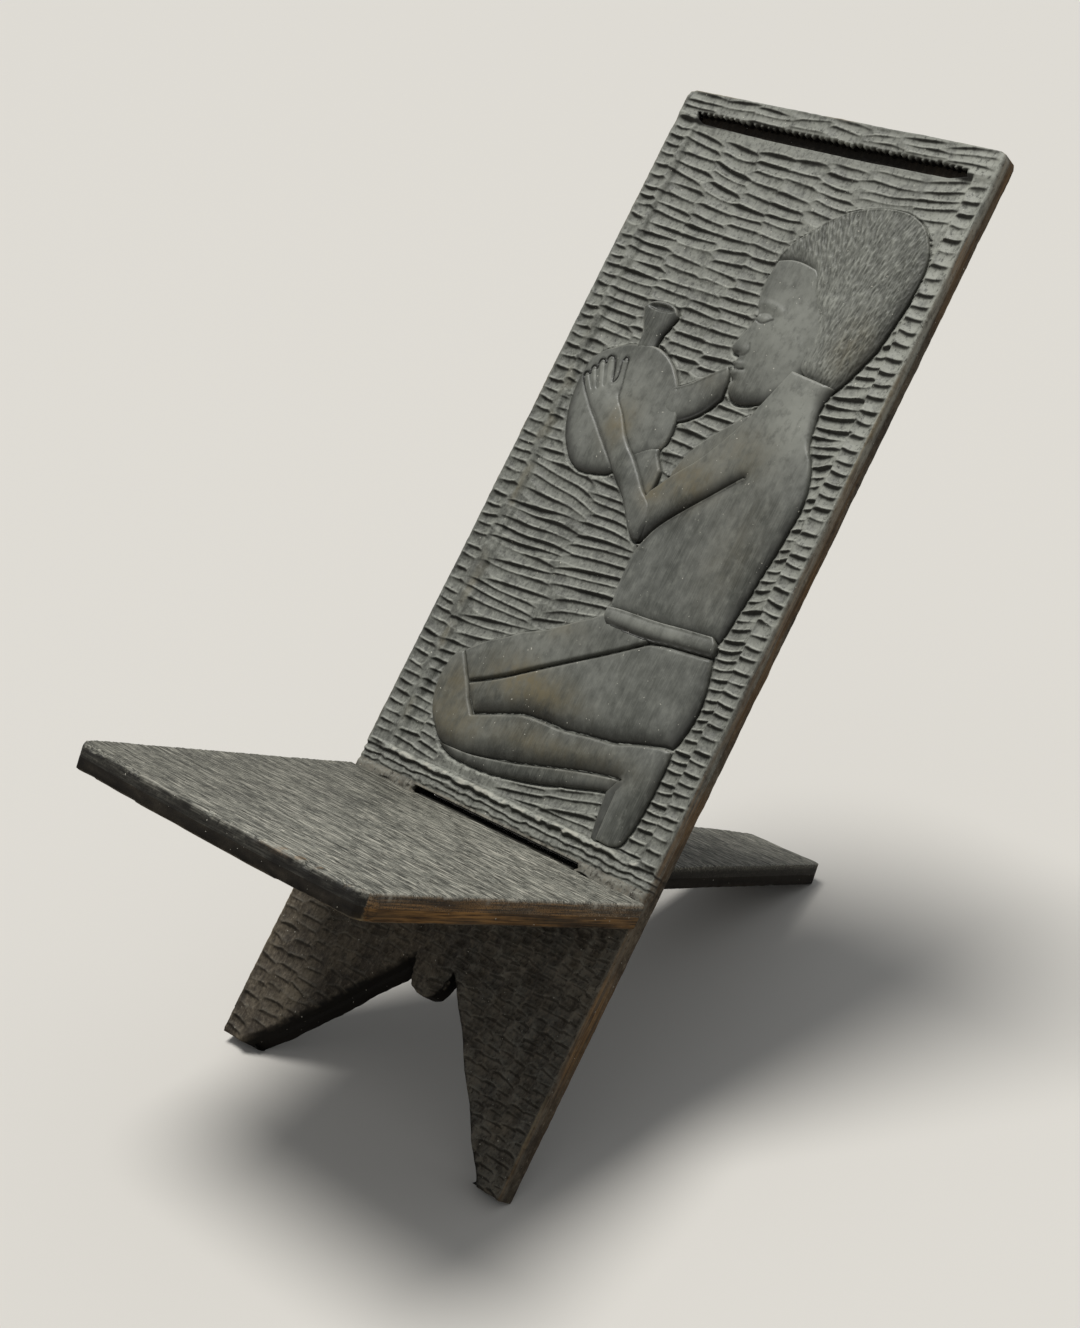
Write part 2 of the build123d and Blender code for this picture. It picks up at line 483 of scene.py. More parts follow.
def stained_wood(
    name, tilt, dark, middle, light, roughness, streak=0.5, relief=0.3, rub_and_highlight="rubbed_and_highlit_edge", score=0,
    shine=0.3, mottling=0.7, coarse=1.0
):
    """Ebonised hardwood. Grain runs along the plank. It reads a piece's marks: hollow, painted
    shade that darkens it where shade falls, and the seat's dark grain streaks;
    faded_and_painted_light, painted light and painted highlights that make it paler, and the grey
    of a worn ridge; worn, where the stain is rubbed to brown; rubbed, where an arris is pale, and
    on the figure's crisp upper edges also a painted highlight; crumbled, where fibres are torn;
    and bare."""
    material = bpy.data.materials.new(name)
    material.use_nodes = True
    tree = material.node_tree
    shader = tree.nodes["Principled BSDF"]
    place_in = node(tree, "ShaderNodeTexCoord").outputs["Object"]

    def noise(width, length, detail=2.0, rough=0.5, deep=None):
        spread = (width * MM, length * MM, (deep or width) * MM)
        at = node(
            tree, "ShaderNodeMapping",
            {"Vector": place_in, "Rotation": (-tilt, 0, 0), "Scale": spread},
            vector_type="TEXTURE",
        ).outputs["Vector"]
        return node(
            tree, "ShaderNodeTexNoise",
            {"Vector": at, "Scale": 1.0, "Detail": detail, "Roughness": rough},
        ).outputs["Fac"]

    def mark(attribute):
        return node(tree, "ShaderNodeAttribute", attribute_name=attribute).outputs["Fac"]

    def span(value, low, high, to_low=0.0, to_high=1.0):
        limits = {"From Min": low, "From Max": high, "To Min": to_low, "To Max": to_high}
        return node(tree, "ShaderNodeMapRange", {"Value": value, **limits}).outputs["Result"]

    def times(a, b):
        return node(tree, "ShaderNodeMath", {0: a, 1: b}, operation="MULTIPLY").outputs[0]

    def blend(share, under, over):
        mix = node(tree, "ShaderNodeMix", data_type="RGBA")
        for socket, value in ((0, share), (6, under), (7, over)):
            if isinstance(value, bpy.types.NodeSocket):
                tree.links.new(value, mix.inputs[socket])
            else:
                mix.inputs[socket].default_value = value
        return mix.outputs[2]

    grain = noise(0.9, 26, 4, 0.6)  # pores are 0.1 to 0.3 mm wide, and are drawn coarser to show
    blotch = noise(38, 70, 3, 0.6)
    patch = noise(9, 16, 4, 0.65)
    mottle = noise(3.4 * coarse, 5.2 * coarse, 6, 0.75 - 0.1 * (coarse - 1))
    tone = blend(span(blotch, 0.35, 0.65), linear(dark), linear(middle))
    # Painted light: the faded mark pales it where more light should fall and on lit crests and
    # tips, and greys a worn ridge.
    tone = blend(mark("faded_and_painted_light"), tone, linear("faded_and_painted_light"))
    tone = blend(times(span(grain, 0.4, 0.72), streak), tone, linear(light))
    tone = blend(span(mottle, 0.52, 0.68, 0, mottling), tone, linear(light))
    tone = blend(span(mottle, 0.48, 0.34, 0, mottling), tone, linear(dark))
    tone = blend(span(patch, 0.5, 0.34, 0, 0.6 * mottling), tone, linear(dark))
    tone = blend(times(mark("worn"), span(patch, 0.28, 0.6, 0.15, 1)), tone, linear("worn"))
    bare = blend(span(noise(1.3, 60, 3, 0.6), 0.4, 0.6), linear("bare_dark"), linear("bare"))
    tone = blend(mark("bare"), tone, bare)
    if score:
        scores = noise(26, 1.15, 4, 0.6, deep=1.15)  # scratches, drawn twice as wide to show
        lit = times(span(mark("faded_and_painted_light"), 0, 0.42, 0.4, 1.0), span(mark("bare"), 1, 0))
        tone = blend(times(span(scores, 0.53, 0.63, 0, score), lit), tone, linear(rub_and_highlight))
        tone = blend(span(scores, 0.48, 0.38, 0, 0.95), tone, linear(dark))
    # The rubbed mark: pale arrises, and on the figure's crisp upper edges a painted highlight.
    tone = blend(mark("rubbed"), tone, linear(rub_and_highlight))
    tone = blend(mark("crumbled"), tone, linear("score"))
    # Painted shade: the hollow mark darkens it to near-black where shade falls, and on the seat's
    # right side it also draws dark grain streaks.
    tone = blend(mark("hollow"), tone, linear("painted_shade_and_stain"))
    speck = span(noise(1.5, 2.2, 0), 0.85, 0.87)  # dust and lime, drawn coarser than its grit
    tone = blend(times(speck, 0.7), tone, linear("speck"))
    tree.links.new(tone, shader.inputs["Base Color"])

    rough = span(patch, 0.3, 0.7, roughness - 0.07, roughness + 0.1)
    tree.links.new(rough, shader.inputs["Roughness"])
    shader.inputs["IOR"].default_value = WAX_IOR
    shader.inputs["Specular IOR Level"].default_value = shine
    fine = node(
        tree, "ShaderNodeMath", {0: grain, 1: scores if score else mottle}, operation="ADD"
    ).outputs[0]
    bump = node(
        tree, "ShaderNodeBump", {"Height": fine, "Strength": relief, "Distance": GRAIN_DEPTH}
    )
    tree.links.new(bump.outputs["Normal"], shader.inputs["Normal"])
    return material


# Ebonised hardwood left from the gouge: satin, with painted shade black in the cuts and a painted
# highlight grey on the crests.
CARVED_GROUND = stained_wood(
    "gouged_ebonised_hardwood", BACK_TILT, "ground_dark", "ground", "ground_light",
    roughness=0.55, streak=0.3, rub_and_highlight="rubbed_arris", mottling=0.9,
)
# The same wood scraped smooth and handled for years: a soft sheen, cloudy grey, brown in places.
FIGURE_WOOD = stained_wood(
    "rubbed_ebonised_hardwood", BACK_TILT, "figure_dark", "figure", "figure_light",
    roughness=0.42, streak=0.35, shine=0.45, mottling=0.38, coarse=2.2,
)
# The same wood pecked with a narrow chisel: duller, with a painted highlight on the crest beside
# each tick, and painted shade in it.
HAIR_WOOD = stained_wood(
    "chiselled_ebonised_hardwood", BACK_TILT, "figure_dark", "figure", "ground_light",
    roughness=0.5, streak=0.4, mottling=0.4,
)
# The same wood where no hand reaches: matt, and black-brown with unfaded stain.
LEG_WOOD = stained_wood(
    "unrubbed_ebonised_hardwood", BACK_TILT, "leg_dark", "leg", "leg_light",
    roughness=0.65, streak=0.4, relief=0.5, rub_and_highlight="rubbed_arris", shine=0.2, mottling=1.0,
)
# The same wood scored across and sat on: dry and grey, with pale scratches over dark stain.
SEAT_WOOD = stained_wood(
    "sat_on_ebonised_hardwood", SEAT_TILT, "seat_dark", "seat", "seat_light",
    roughness=0.55, streak=0.3, relief=0.6, rub_and_highlight="score", score=0.95,
)
# The same wood hewn with an adze and never rubbed: matt and dark, like the legs.
UNDERSIDE_WOOD = stained_wood(
    "hewn_ebonised_hardwood", SEAT_TILT, "leg_dark", "leg", "leg_light",
    roughness=0.65, streak=0.4, relief=0.5, rub_and_highlight="rubbed_arris", shine=0.2,
)

# ---------------------------------------------------------------- the back plank's ground

FIELD_FOOT = 272.0
RIDGE = 269.6  # the worn ridge across the foot of the field
STEPS_BELOW_RIDGE = ((266.0, 2.0), (260.0, 1.7), (254.6, 1.4))  # y and depth, down to the slot
RIDGE_WIDTH = 2.8
RIDGE_END = 145  # how far it runs each way from the middle
FIELD_LEVEL = -3.8
STRIP_LEVEL = -1.2
RIGHT_BORDER_DROP = 0.5
UNDER_SLIT_DROP = 1.2  # the field is sunk deeper just below the slit
FACE_SPAN = (-163, -4), (163, 896)  # the whole face, and a little round it

# Each line is given as (y, x) from the foot of the field to its top.
BORDER_LINE = [(272, -138.5), (400, -138), (560, -138.5), (640, -140.5), (860, -141.5)]
FIELD_LINE = [(272, -129), (450, -128.5), (560, -132), (640, -136.5), (860, -138.5)]
STRIP_LINE = [(272, -133.5), (450, -133), (560, -135), (640, -138.5), (860, -140)]  # between them
RIGHT_LINE = [(272, 139), (860, 139.5)]
RIGHT_OF_FIGURE = [
    (272, 114), (360, 114), (420, 118), (480, 113), (520, 118), (580, 121), (612, 112),
    (650, 99), (680, 106), (700, 119), (760, 128),
]

# left, right, bottom, top, pitch, slope in degrees, depth, bow
GROUND_COLUMNS = [
    # field above the gourd and in front of the head, four columns wide
    (STRIP_LINE, -99, 655, 860, [(655, 9.2), (860, 10)],
     [(690, -4), (760, -3), (800, -9), (855, -8)], 1.8, 0),
    (-101, -59, 655, 852, 9.8, [(690, -2), (760, -3), (790, -9), (820, -13), (850, -10)], 1.8, 0.6),
    (-62, -24, 640, 856, 9.9, [(700, -3), (760, 2), (810, -7), (855, -1)], 1.7, -0.6),
    (-27, 9, 655, 856, 9.7, [(700, -2), (780, -1), (830, -6), (855, 0)], 1.6, 0.5),
    (6, 48, 800, 858, 9.0, [(800, -6), (840, -4), (858, 0)], 1.4, -0.4),
    (45, 102, 822, 858, 8.2, [(822, 2), (858, 3)], 1.0, 0.4),
    (99, RIGHT_LINE, 818, 859, 9.0, [(818, 6), (858, 8)], 1.3, 0.4),
    # right of the figure
    (RIGHT_OF_FIGURE, RIGHT_LINE, 272, 762, [(272, 9.4), (450, 8.8), (640, 8.8), (762, 10)],
     [(272, 0), (330, 2), (400, 7), (480, 15), (580, 16), (640, 9), (700, 7), (760, 4)], 2.2, 1.8),
    # between the spout and the upper arm
    (-18, 52, 572, 646, 9.8, -3, 1.8, 0.4),
    # between the arms, and left below the gourd
    (-30, 4, 545, 575, 9, -4, 1.4, 0),
    (STRIP_LINE, -104, 548, 604, 9.4, -3, 1.5, 0),
    (STRIP_LINE, -119, 604, 658, 9.0, -6, 1.5, 0),
    # left of the torso, down to the thigh
    (STRIP_LINE, -58, 368, 548, [(368, 9.6), (450, 8.6), (548, 8.7)],
     [(370, 6), (400, 3), (440, 1), (480, -1), (505, -5), (525, -8), (545, -3)], 1.75, 0),
    (-63, 10, 398, 548, [(400, 9.2), (470, 8.4), (548, 8.8)],
     [(400, 16), (440, 13), (455, 8), (490, 6), (500, -2), (515, -7), (545, -8)], 1.7, -1.5),
    # left of the knee
    (STRIP_LINE, -112, 276, 372, 9.3, [(280, -4), (340, -1), (370, 3)], 1.5, 0.4),
    (-114, -84, 274, 306, 8.4, -8, 1.3, 0),
    # under the shin
    (-20, 34, 273, 296, 7.2, 7, 1.2, 0),
    (24, 90, 275, 312, 7.6, [(275, 2), (300, 14)], 1.4, -1.2),
    # borders
    ([(272, -157.5), (860, -159)], BORDER_LINE, 262, 868, [(262, 9.2), (480, 10.2), (860, 9.6)],
     -3, 1.7, 1.0),
    (RIGHT_LINE, 161, 262, 863, [(262, 9.4), (640, 10.5), (860, 11.5)],
     [(262, 2), (700, 6), (860, 9)], [(262, 1.8), (600, 2.0), (860, 1.9)], 1.8),
    # top border, two thin rows
    (-160, -118, 873, 893, 7, -2, 1.0, 0), (-119, -80, 872, 893, 7.6, 1, 0.9, 0),
    (-82, -44, 872, 893, 7, -2, 1.0, 0), (-46, -8, 873, 893, 7.4, 2, 0.9, 0),
    (-10, 30, 872, 893, 7.2, -1, 1.0, 0), (28, 70, 872, 893, 7.6, 2, 0.9, 0),
    (68, 110, 873, 893, 7, 0, 1.0, 0), (108, 161, 872, 893, 7.4, 3, 1.0, 0),
]
# The legs, in narrower columns towards the right, where the cuts are small and close.
LEG_COLUMNS = []
LEG_EDGES = (
    -162, -136, -111, -87, -64, -43, -24, -6, 11, 28, 44, 60, 74, 88, 102, 116, 130, 145, 162
)
for edge, next_edge in zip(LEG_EDGES, LEG_EDGES[1:]):
    LEG_COLUMNS.append((
        edge, next_edge, -4, 244, 9.4 - edge / 110, [(0, -7), (120, 1 - edge / 40), (250, 1)],
        1.3 + 0.6 * (edge > 0), 0.5,
    ))

# ---------------------------------------------------------------- the figure's forms

# Each form is a list of strokes that meet at corners. A single stroke ends where it starts.
BACK_FORMS = {
    "gourd": [[
        (-80.6, 662.8), (-70, 663.8), (-60, 661.9), (-47.5, 655.6), (-36, 644.5), (-26, 631),
        (-19, 616), (-16, 600), (-17.5, 587), (-24, 577), (-36, 567), (-48, 557), (-58, 549.6),
        (-70, 546.4), (-81, 544.8), (-91, 546), (-100, 550.6), (-106, 556), (-113.8, 565),
        (-120, 575), (-125, 587), (-128, 598), (-129.6, 611), (-129.2, 624), (-127, 635),
        (-122, 643.5), (-115, 650), (-106, 655), (-95, 660), (-80.6, 662.8),
    ]],
    "gourd_cup": [
        [(-87, 655), (-87.2, 668), (-89.5, 676), (-94.5, 685), (-98.6, 695)],
        [(-98.6, 695), (-92.5, 700.6), (-80.5, 702.8), (-69, 700.6), (-62.6, 694.2)],
        [(-62.6, 694.2), (-66, 685), (-69.5, 676), (-70.4, 668), (-70, 655)],
        [(-70, 655), (-87, 655)],
    ],
    "gourd_spout": [
        [(-34, 634), (-26, 638.5), (-18, 643.6), (-9, 651), (0, 658.4), (7.5, 664.5)],
        [(7.5, 664.5), (11.5, 658), (13.2, 649), (13.6, 638)],
        [(13.6, 638), (4, 624), (-4, 616.5), (-13, 610.5), (-22, 606)],
        [(-22, 606), (-32, 618), (-34, 634)],
    ],
    "torso": [
        [(66, 676), (78, 674.5), (92, 673), (109, 671)],
        [(109, 671), (104.6, 656), (106, 641), (111, 621), (119.5, 608.5), (124.5, 597), (128, 582),
         (129, 570), (127.7, 555), (126, 535), (123, 513), (120.5, 490), (118, 470), (115.5, 451)],
        [(115.5, 451), (80, 449), (50, 446), (9, 445)],
        [(9, 445), (5.5, 460), (4.5, 480), (4.6, 496), (8.2, 508)],
        [(8.2, 508), (13, 518), (21.8, 530), (34.6, 544.5), (49.2, 560), (60, 571.8), (71, 583.4)],
        [(71, 583.4), (58.4, 572.8), (47.4, 561.4), (32.6, 546.4), (19.6, 532), (10.4, 519.5),
         (4.4, 508), (-0.5, 503.6)],
        [(-0.5, 503.6), (-9, 509.5), (-14.5, 520), (-12.5, 534), (-8.5, 546), (-4, 552.5)],
        [(-4, 552.5), (3.2, 562.7), (10.5, 571), (19.5, 581), (26.8, 591), (34, 602.7),
         (41.4, 616), (47.2, 628), (52, 640), (58, 655), (66, 676)],
    ],
    "arm_bevel": [
        [(3, 569), (7.5, 583), (12.3, 592.5), (21.4, 605), (30.5, 615), (39.5, 624.5), (47.5, 632)],
        [(47.5, 632), (48, 626), (36, 601), (22, 579), (3, 558)],
        [(3, 558), (3, 569)],
    ],
    "far_arm": [
        [(-44, 570), (-38, 573.5), (-28, 580), (-19.4, 582.4)],
        [(-19.4, 582.4), (-17.5, 577), (-13, 571), (-8.4, 565.4)],
        [(-8.4, 565.4), (-7.4, 552), (-8, 541)],
        [(-8, 541), (-24, 548), (-44, 570)],
    ],
    "forearm": [
        [(2.6, 505.6), (-3, 505.2), (-10, 510.6), (-19, 521.5), (-28.8, 533.2), (-40, 543.2),
         (-50, 551), (-57.5, 558.4), (-70, 569.6), (-82.5, 580.6), (-91, 588.4), (-101, 596.6),
         (-109.5, 605)],
        # little, ring, middle and index finger, then the thumb
        [(-109.5, 605), (-116, 611.3), (-122.8, 619.3), (-124.6, 623.6), (-123.8, 626.6),
         (-121.2, 627.4), (-118.9, 626)],
        [(-118.9, 626), (-120, 630), (-119.4, 633), (-117, 634.4), (-114.2, 632)],
        [(-114.2, 632), (-115.4, 637), (-114.6, 640.6), (-111.6, 641.8), (-108.2, 639)],
        [(-108.2, 639), (-108.9, 643), (-107, 646.2), (-102.8, 645.8), (-99, 641.4), (-95.6, 634),
         (-92.4, 624)],
        [(-92.4, 624), (-90.2, 629), (-91.6, 638), (-92.8, 645), (-91, 648.8), (-88, 647),
         (-86, 640), (-83.6, 630.6), (-81.2, 622.5), (-80, 614.6)],
        [(-80, 614.6), (-76, 608.6), (-70, 603), (-63.8, 595.6), (-55, 584.6), (-46, 575.8),
         (-37, 568.6), (-28.8, 560.8), (-20, 552), (-13.5, 545), (-8, 541)],
        [(-8, 541), (-1, 534), (4, 520), (2.6, 505.6)],
    ],
    "belt_roll": [
        [(7.2, 446.6), (21, 448), (58, 449.2), (83, 451.4), (110.5, 453.4)],
        [(110.5, 453.4), (115.6, 449), (117.2, 443.5), (116.6, 438.2)],
        [(116.6, 438.2), (98, 436.4), (76, 434.6), (58, 432.2), (36, 431.4), (12.3, 433)],
        [(12.3, 433), (8.6, 437), (7, 441), (7.2, 446.6)],
    ],
    "far_thigh": [
        [(12, 438), (6, 439.6), (-5, 432.4), (-15.7, 426.4), (-26, 419.6), (-38, 411.8),
         (-52, 405.6), (-62, 401), (-73, 393.6), (-85.4, 387), (-95, 380.4), (-107.4, 370)],
        [(-107.4, 370), (-89.6, 347.8)],
        [(-89.6, 347.8), (-60.9, 362), (-30.5, 380), (1.6, 398.7), (26.5, 413), (58.5, 432.5)],
        [(58.5, 432.5), (36, 434), (12, 438)],
    ],
    "near_thigh": [
        [(-88, 345.8), (-59.9, 359.2), (-29.5, 377.2), (2.6, 396), (27.5, 410.4), (60, 430.4)],
        [(60, 430.4), (76, 435.4), (98, 437.4), (117.2, 438)],
        [(117.2, 438), (121.6, 423), (125.4, 405), (125.8, 391), (123.2, 374), (119.4, 361.4)],
        [(119.4, 361.4), (113, 360.8), (100, 357.6), (88, 354.6), (70, 349), (48.6, 346.4),
         (20, 342.4), (-1.4, 342.2), (-22.9, 340.8), (-37, 336.8), (-55, 330.4), (-71, 324.9)],
        [(-71, 324.9), (-80.8, 336), (-88, 345.8)],
    ],
    "shin": [
        [(-107.8, 369.2), (-115, 363.4), (-118.4, 353), (-119.2, 341), (-117, 327.5), (-110, 312),
         (-99.6, 300), (-90, 292.6), (-76, 289.6), (-55, 292.6), (-30, 297.8), (-5, 303),
         (20, 309.6), (48.6, 316.8), (70, 321.4), (90, 324.2)],
        [(90, 324.2), (91.4, 307), (92.4, 289), (93.4, 274.4)],
        [(93.4, 274.4), (101, 273.6), (109, 274), (115, 279), (119, 296), (121, 318),
         (121, 340), (120.4, 358.4)],
        [(120.4, 358.4), (112, 358.2), (100, 355.6), (88, 352.6), (70, 347), (48.6, 344.6),
         (20, 340.6), (-1.4, 340.4), (-22.9, 338.8), (-37, 334.6), (-55, 328.2), (-71, 322.8)],
        [(-71, 322.8), (-82.4, 335.6), (-90, 346.2), (-107.8, 369.2)],
    ],
    "foot_bevel": [
        [(82.6, 311), (84.6, 294), (88, 274)],
        [(88, 274), (95, 273.6), (95, 322), (88, 322)],
        [(88, 322), (82.6, 311)],
    ],
    "far_shin": [
        [(-92, 292), (-76.4, 286.4), (-58.6, 284.8), (-30, 285.7), (-5, 289.8), (20, 295),
         (48.6, 302.7), (70, 308.6), (84.6, 311.6)],
        [(84.6, 311.6), (88, 322), (70, 320), (48.6, 315.6), (20, 308.6), (-5, 302), (-30, 297),
         (-55, 293), (-76, 292), (-92, 292)],
    ],
    "hair_cap": [
        [(4, 760.8), (6.4, 770), (12, 780), (20.7, 790), (29, 799.6), (39, 808.8), (50.7, 816.4),
         (63.6, 821.4), (75, 824.2), (87, 825.7), (100.7, 825.2), (112, 821.4), (120.7, 816),
         (128, 807), (133, 798), (135.8, 785.7), (136.4, 771), (135.2, 754), (133, 740),
         (130.4, 724), (127.6, 710), (123.6, 699.6), (119, 688.6), (113.6, 677.4), (107, 667.4)],
        [(107, 667.4), (100, 671), (79.3, 673.8)],
        [(79.3, 673.8), (73, 678.6), (71, 690), (70, 700), (67.6, 709), (63.6, 718.6),
         (57.6, 730), (49.3, 742.4), (41, 757.6)],
        [(41, 757.6), (29.3, 762), (17.9, 762.6), (4, 760.8)],
    ],
}
# Each finger's middle line from its root to its tip, and half its width.
FINGERS = [
    ([(-108.5, 608), (-121.5, 624.5)], 3.1),
    ([(-105.5, 611.5), (-117.4, 631.6)], 2.8),
    ([(-101, 616.5), (-112, 639)], 3.3),
    ([(-94.5, 619), (-104.6, 643.6)], 3.9),
    ([(-80.5, 611), (-85.6, 630), (-89.8, 646)], 2.9),
]


# ---------------------------------------------------------------- the head, of the maker's design

HAIRLINE = np.array([6.0, 758.0])  # the face hangs from here, and leans by the head's tilt
HEAD_TILT = math.radians(7)
# Hairline to brow, brow to nose and nose to chin are equal, the mouth a third down the last.
PROFILE = [
    (6, 762), (2.6, 750), (0.9, 740), (0.9, 731), (2.2, 722), (5.4, 713), (2.4, 704), (-2.6, 694),
    (-7.0, 685.6), (-7.6, 681.4), (-4.6, 678.2), (1.0, 676.4), (0.6, 672), (-1.6, 668.8),
    (1.8, 665.2), (-0.4, 661.8), (1.2, 657.4), (4.2, 654), (3.2, 648), (5.0, 641.6),
    (10, 637.2), (18, 635.6), (31, 637.4), (45, 643), (58, 652),
]


def lean_face(points, angle=HEAD_TILT):
    """Turns points about the hairline."""
    c, s = math.cos(angle), math.sin(angle)
    return HAIRLINE + (np.array(points, float) - HAIRLINE) @ np.array([[c, s], [-s, c]])


def swelling(points, middle, reach):
    """1 at the middle, falling smoothly to 0 about one reach away across and up."""
    return np.exp(-(((points - middle) / reach) ** 2).sum(1) * 1.6)


def crease(points, line, width):
    """1 on a line, falling to 0 at the given width from it."""
    return 1 - ramp(distance(points, stroke(line, 1.0), closed=False), 0, width)


BROW_LINE = [(1, 720.5), (9, 723), (18, 721.6), (27, 717)]
CLOSED_EYE = [(4.6, 709.4), (9, 706.6), (14, 706.4), (20, 709.6), (22, 710)]
LID_FOLD = [(5.4, 713.4), (10, 715.4), (16, 715), (21, 711.6)]
NOSE_WING = [(8.4, 687), (9.6, 681), (6.6, 677), (3, 676.6)]
NOSTRIL = (-1.6, 679.0)
MOUTH_LINE = [(-3, 665.4), (2, 665.3), (7, 664.6)]
FACE_SWELLINGS = [  # height, middle, reach across and up
    (-1.5, (12.5, 711.5), (12, 7.5)),  # eye socket
    (1.5, (12, 710.2), (8.4, 4.6)),  # eyeball
    (0.9, (3.0, 681.6), (6.0, 5.4)),  # wing of the nose
    (-1.1, NOSTRIL, (2.6, 1.3)),
    (0.8, (3.6, 669.4), (8, 3.4)),  # upper lip
    (0.8, (4.4, 660.8), (7.2, 3.6)),  # lower lip
    (-0.5, (12.6, 665.2), (3, 3)),  # corner of the mouth
    (-0.4, (5.4, 653.8), (7, 3)),  # hollow under the lip
    (0.5, (10, 645), (9, 8)),  # chin
    (0.7, (33, 692), (24, 24)),  # cheek
    (-0.4, (40, 733), (16, 16)),  # temple
]
FACE_CREASES = [  # height, line, width
    (0.55, BROW_LINE, 5.5),
    (-0.55, CLOSED_EYE, 1.1),
    (-0.3, LID_FOLD, 1.0),
    (-0.5, NOSE_WING, 1.6),
    (-1.1, [*MOUTH_LINE, (11.4, 665.4)], 1.3),
]
FACE_DEPTH = 1.25  # the whole face is modelled deeper than its list by this


def face_shape(points):
    """The modelling of the face: brow, closed eye, nose, lips, cheek and chin."""
    p = lean_face(points, -HEAD_TILT)
    h = sum(height * swelling(p, middle, reach) for height, middle, reach in FACE_SWELLINGS)
    h = h + sum(height * crease(p, line, width) for height, line, width in FACE_CREASES)
    return FACE_DEPTH * h


def face_lines(points):
    """Painted shade in the closed eye's line, under the nose and between the lips."""
    p = lean_face(points, -HEAD_TILT)
    return np.maximum.reduce([
        0.6 * crease(p, CLOSED_EYE, 1.4),
        0.7 * swelling(p, NOSTRIL, (3, 1.6)),
        0.4 * crease(p, NOSE_WING, 1.6),
        0.65 * crease(p, [*MOUTH_LINE, (11, 665.4)], 1.4),
    ])


FACE_LINE = lean_face(PROFILE)
BACK_FORMS["head"] = [
    [tuple(p) for p in FACE_LINE] + [(72, 664), (76, 676)],
    [(76, 676), (84, 700), (70, 735), (44, 762)],
    [(44, 762), (29, 765), (17, 765), tuple(FACE_LINE[0])],
]

# ---------------------------------------------------------------- carving the figure

CUT_TOWARD = (0.45, -0.89)  # forms are rolled over on this side and crisp opposite
GOURD_TOWARD = (-0.42, -0.91)
RIM_LEVEL = -5.2
FORM_FLOOR = -9.0
CRISP_DROP = 0.9  # how far a form falls at its crisp edge
SWELL_REACH = 15.0  # how far in from its outline a form swells


def rolled_share(line, toward=CUT_TOWARD):
    """1 at each point of an outline where the form rolls over, and 0 where its edge is crisp."""
    run = np.roll(line, -1, 0) - np.roll(line, 1, 0)
    area = (line[:, 0] * np.roll(line[:, 1], -1) - np.roll(line[:, 0], -1) * line[:, 1]).sum()
    outward = np.stack([run[:, 1], -run[:, 0]], 1) * np.sign(area)
    outward /= np.maximum(np.hypot(*outward.T), 1e-6)[:, None]
    rolled = ramp(outward @ np.array(toward), -0.15, 0.7)
    for _ in range(2):
        rolled = (np.roll(rolled, 1) + rolled + np.roll(rolled, -1)) / 3
    return rolled


def carve_form(
    name, top, finish, roll=12.0, drop=4.3, edge=1.4, cell=1.1, shape=None, swell=0.0, under=None,
    toward=CUT_TOWARD, taper=None, painted_shade=None, rub_and_highlight=None, rim=0.6
):
    """One of the figure's forms: a slightly swelling top that rolls over below and to the right,
    with crisp edges above and to the left, as the carver's strokes left them. under is the form
    that it lies under, and how deep a groove is cut in it along that form. taper gives the share
    of the roll that is kept, painted_shade where shade is painted on it and rub_and_highlight
    where a highlight is painted, and rim how strongly a pale line is painted along the crisp
    edges, a highlight with the stain rubbed thin."""
    strokes = BACK_FORMS[name]
    line = outline(*strokes)
    rolled = rolled_share(line, toward) * (taper(line) if taper else 1)
    width = edge + (roll - edge) * rolled
    bm = trimmed_grid([line], (cell, cell), sharp=corners(*strokes))
    points = flat_points(bm)
    far = distance(points, line)
    t, place_on = nearest(points, line, reach=width)
    t = np.clip(t, 0, 1)
    fall = CRISP_DROP + (min(drop, top - RIM_LEVEL) - CRISP_DROP) * at_place(rolled, place_on)
    heights = top - fall * (1 - np.sqrt(np.maximum(1 - (1 - t) ** 2, 0)))
    heights -= swell * np.exp(-far / SWELL_REACH)
    if under:
        over_line, groove = outline(*BACK_FORMS[under[0]]), under[1]
        heights -= groove * (1 - ramp(distance(points, over_line), 0.2, 1.6 * groove))
    if shape:
        heights = heights + shape(points) * ramp(far, 0, 2.5)
    heights += 0.14 * unevenness(points, 16, 5) + 0.08 * unevenness(points, 4.5, 6)
    set_heights(bm, heights)
    close_below(bm, FORM_FLOOR)

    # Painted shade: darker where the form falls away below its top, along its rolled-over edge, in
    # the groove beside a form lying over it, and where the form's own shade function says.
    def dark(p):
        far_in = distance(p, line)
        shade = 0.9 * ramp(top - swell * np.exp(-far_in / SWELL_REACH) - p[:, 2], 1.8, 4.2)
        t_in, place_in = nearest(p[:, :2], line, reach=width)
        shade = np.maximum(shade, 0.7 * at_place(rolled, place_in) * (1 - ramp(t_in, 0, 0.75)))
        if under:
            beside = distance(p, over_line)
            shade = np.maximum(shade, 0.3 * (1 + groove) * (1 - ramp(beside, 0.3, 0.9 * groove)))
        return np.maximum(shade, painted_shade(p[:, :2])) if painted_shade else shade

    # Painted light: paler at the brightly lit spots, and painted highlights where the form has
    # them.
    def pale(p):
        return strengths(p, PAINTED_LIGHT_SPOTS) + (rub_and_highlight(p[:, :2]) if rub_and_highlight else 0)

    marks = {
        "worn": lambda p: strengths(p, RUB_SPOTS),
        "faded_and_painted_light": pale,
        "rubbed": lambda p: rim * rubbed_and_highlit_rim(p, line, rolled),
        "hollow": dark,
    }
    return place(bm, name, BACK, "back", "ebonised_back", finish, marks, sharp=50)


